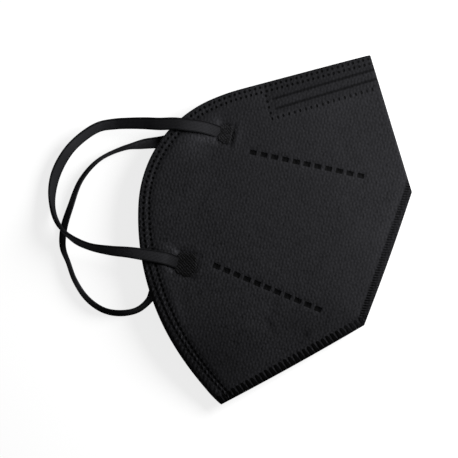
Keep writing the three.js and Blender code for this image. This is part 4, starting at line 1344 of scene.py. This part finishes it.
def weld_mesh(name, weld, crispness, cloth, relief, bands, finish):
    """One loop's weld: a low pad on the cloth with a knurl of that crispness, its edge sunk into it.

    It is a disc of rings about the weld's middle. The outline is a rounded rectangle with uneven
    bulges. The rise is level inside and falls by a smooth step at the edge. The knurl is a sum of
    two crossed cosines."""
    angle = 2 * np.pi * np.arange(PAD_TURNS) / PAD_TURNS
    c, s = np.cos(angle), np.sin(angle)
    half_length, half_width = weld["length"] / 2, weld["width"] / 2
    outline = 1 / ((np.abs(c) / half_length) ** 4 + (np.abs(s) / half_width) ** 4) ** (1 / 4)
    outline = outline + sum(height * np.sin(waves * angle + start) for height, waves, start in PAD_BULGES)
    along, across = heading(weld["heading"]), left_of(heading(weld["heading"]))
    middle, side = np.array([weld["x"], weld["y"]]), weld["side"]

    def place(radius, rise, knurled=True):
        reach = (radius * outline)[:, None]
        p = middle + reach * (c[:, None] * along + s[:, None] * across)
        if knurled:
            knurl = sum(part * np.cos(2 * np.pi * ((p + ORIGIN) @ heading(turn)) / spacing)
                        for turn, spacing, part in HATCH)
            rise = rise + bands.knurl_depth * crispness * knurl * smooth(radius, 1.0, KNURL_FULL)
        return in_frame(p, np.maximum(cloth_heights(p, cloth, relief, side) + side * rise, 0.0))

    weave = Weave()
    rows = [weave.add(place(PAD_UNDERCUT, -PAD_FOOT, False)), weave.add(place(1.0, -PAD_SKIRT, False))]
    for radius in PAD_RADII:
        rise = -PAD_SUNK + (bands.weld_rise + PAD_SUNK) * smooth(radius, 1.0, PAD_LEVEL)
        rows.append(weave.add(place(radius, rise)))
    pad_map = np.append(np.repeat([PAD_UNDERCUT, 1.0, *PAD_RADII], PAD_TURNS), [0.0, 0.0])
    top = weave.add(place(0.0, bands.weld_rise)[:1])
    bottom = weave.add(place(0.0, -PAD_FOOT, False)[:1])
    for outer, inner in zip(rows, rows[1:]):
        weave.rings(outer, inner, 0, side < 0)
    weave.fan(rows[-1], top, 0, side < 0)
    weave.fan(rows[0], bottom, 0, side > 0)
    return make_piece(name, weave, [finish], {"pad": np.column_stack([pad_map, pad_map])})


class MASK_OT_loop_welds(bpy.types.Operator):
    """Builds the four knurled welds that hold the ear loops to the cloth"""

    bl_idname = "mask.loop_welds"
    bl_label = "Loop welds"

    def execute(self, context):
        scene = context.scene
        looks = {}
        for height, (crispness, *knurl) in WELD_LOOKS.items():
            looks[height] = crispness, fused_finish(scene.mask_colours, f"fused_cloth_{height}", *knurl)
        for place, weld in LOOP_WELDS.items():
            crispness, finish = looks[place.split("_")[1]]
            pad = weld_mesh(f"weld_{place}_pad", weld, crispness, scene.mask_cloth, scene.mask_relief,
                            scene.mask_bands, finish)
            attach(pad, BODY)
            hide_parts(f"loop_weld_{place}")
        return {"FINISHED"}


class MASK_OT_nose_wire(bpy.types.Operator):
    """Gives the nose wire in its pocket a brushed aluminium finish"""

    bl_idname = "mask.nose_wire"
    bl_label = "Nose wire"

    def execute(self, context):
        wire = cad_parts["nose_wire"]
        finish = wire_finish(context.scene.mask_colours)
        if not wire.material_slots:
            wire.data.materials.append(finish)
        for slot in wire.material_slots:
            slot.material = finish
        return {"FINISHED"}


# Studio.

VIEW_RIGHT = heading(23.134)          # the view's right and up, on the floor
VIEW_UP = heading(113.134)
VIEW_MIDDLE = np.array([-0.02534, 0.06807])
SENSOR = 36.0                  # width of the camera's sensor, in millimetres
FLOOR_HALF = 9                 # half the floor's width


def aimed(name, data, place, target, up):
    """An object at a place, looking at the target, its own Y towards up."""
    thing = bpy.data.objects.new(name, data)
    bpy.context.scene.collection.objects.link(thing)
    back = (Vector(place) - Vector(target)).normalized()
    right = Vector(up).cross(back).normalized()
    turn = Matrix((right, back.cross(right), back)).transposed()
    thing.matrix_world = Matrix.Translation(Vector(place)) @ turn.to_4x4()
    return thing


class MASK_OT_stage(bpy.types.Operator):
    """Makes the pale floor, the soft studio light and the camera"""

    bl_idname = "mask.stage"
    bl_label = "Stage"

    def execute(self, context):
        scene = context.scene
        studio, cloth = scene.mask_studio, scene.mask_cloth
        middle = VIEW_MIDDLE + ORIGIN
        target = (*middle, cloth.seam_height)

        lens = bpy.data.cameras.new("studio_camera")
        lens.sensor_width = SENSOR
        lens.lens = SENSOR * studio.camera_height / studio.view_width
        lens.clip_start, lens.clip_end = 0.05, 50.0
        place = (*middle, cloth.seam_height + studio.camera_height)
        scene.camera = aimed("studio_camera", lens, place, target, (*VIEW_UP, 0.0))

        floor = bpy.data.meshes.new("studio_floor")
        corners = [(x * FLOOR_HALF, y * FLOOR_HALF, 0) for x, y in ((-1, -1), (1, -1), (1, 1), (-1, 1))]
        floor.from_pydata(corners, [], [(0, 1, 2, 3)])
        floor.materials.append(floor_finish(scene.mask_colours, studio.glow))
        board = bpy.data.objects.new("studio_floor", floor)
        scene.collection.objects.link(board)

        key = bpy.data.lights.new("key_softbox", "AREA")
        key.shape, key.size, key.energy = "DISK", studio.key_size, studio.key_power
        aside = studio.key_distance * math.cos(studio.key_height)
        side = aside * (math.cos(studio.key_turn) * VIEW_RIGHT + math.sin(studio.key_turn) * VIEW_UP) + middle
        place = (*side, studio.key_distance * math.sin(studio.key_height))
        aimed("key_softbox", key, place, target, (0, 0, 1))

        sky = bpy.data.worlds.new("studio_sky")
        sky.use_nodes = True
        light = sky.node_tree.nodes["Background"].inputs
        light["Color"].default_value = (1.0, 1.0, 1.0, 1.0)
        light["Strength"].default_value = studio.sky
        scene.world = sky
        scene.view_settings.view_transform = "Standard"
        return {"FINISHED"}


class MASK_PT_panel(bpy.types.Panel):
    """Lists the mask's pieces and their sizes"""

    bl_idname = "MASK_PT_panel"
    bl_label = "Respirator mask"
    bl_space_type = "VIEW_3D"
    bl_region_type = "UI"
    bl_category = "Mask"

    def draw(self, context):
        for operator in OPERATORS:
            self.layout.operator(operator.bl_idname)
        for label, group in GROUPS.items():
            box = self.layout.box()
            box.label(text=label.replace("_", " ").capitalize())
            values = getattr(context.scene, label)
            for key in group.__annotations__:
                box.prop(values, key)


OPERATORS = [MASK_OT_stage, MASK_OT_ear_loops, MASK_OT_body, MASK_OT_loop_welds, MASK_OT_nose_wire]
GROUPS = {
    "mask_cloth": MaskClothSizes,
    "mask_relief": MaskReliefSizes,
    "mask_bands": MaskBandSizes,
    "mask_colours": MaskColours,
    "mask_studio": MaskStudio,
}


def register():
    for group in GROUPS.values():
        bpy.utils.register_class(group)
    for label, group in GROUPS.items():
        setattr(bpy.types.Scene, label, PointerProperty(type=group))
    for operator in OPERATORS:
        bpy.utils.register_class(operator)
    bpy.utils.register_class(MASK_PT_panel)


def unregister():
    bpy.utils.unregister_class(MASK_PT_panel)
    for operator in reversed(OPERATORS):
        bpy.utils.unregister_class(operator)
    for label, group in GROUPS.items():
        delattr(bpy.types.Scene, label)
        bpy.utils.unregister_class(group)


def main():
    register()
    bpy.ops.mask.stage()
    bpy.ops.mask.ear_loops()
    bpy.ops.mask.body()
    bpy.ops.mask.loop_welds()
    bpy.ops.mask.nose_wire()


if __name__ == "__main__":
    main()
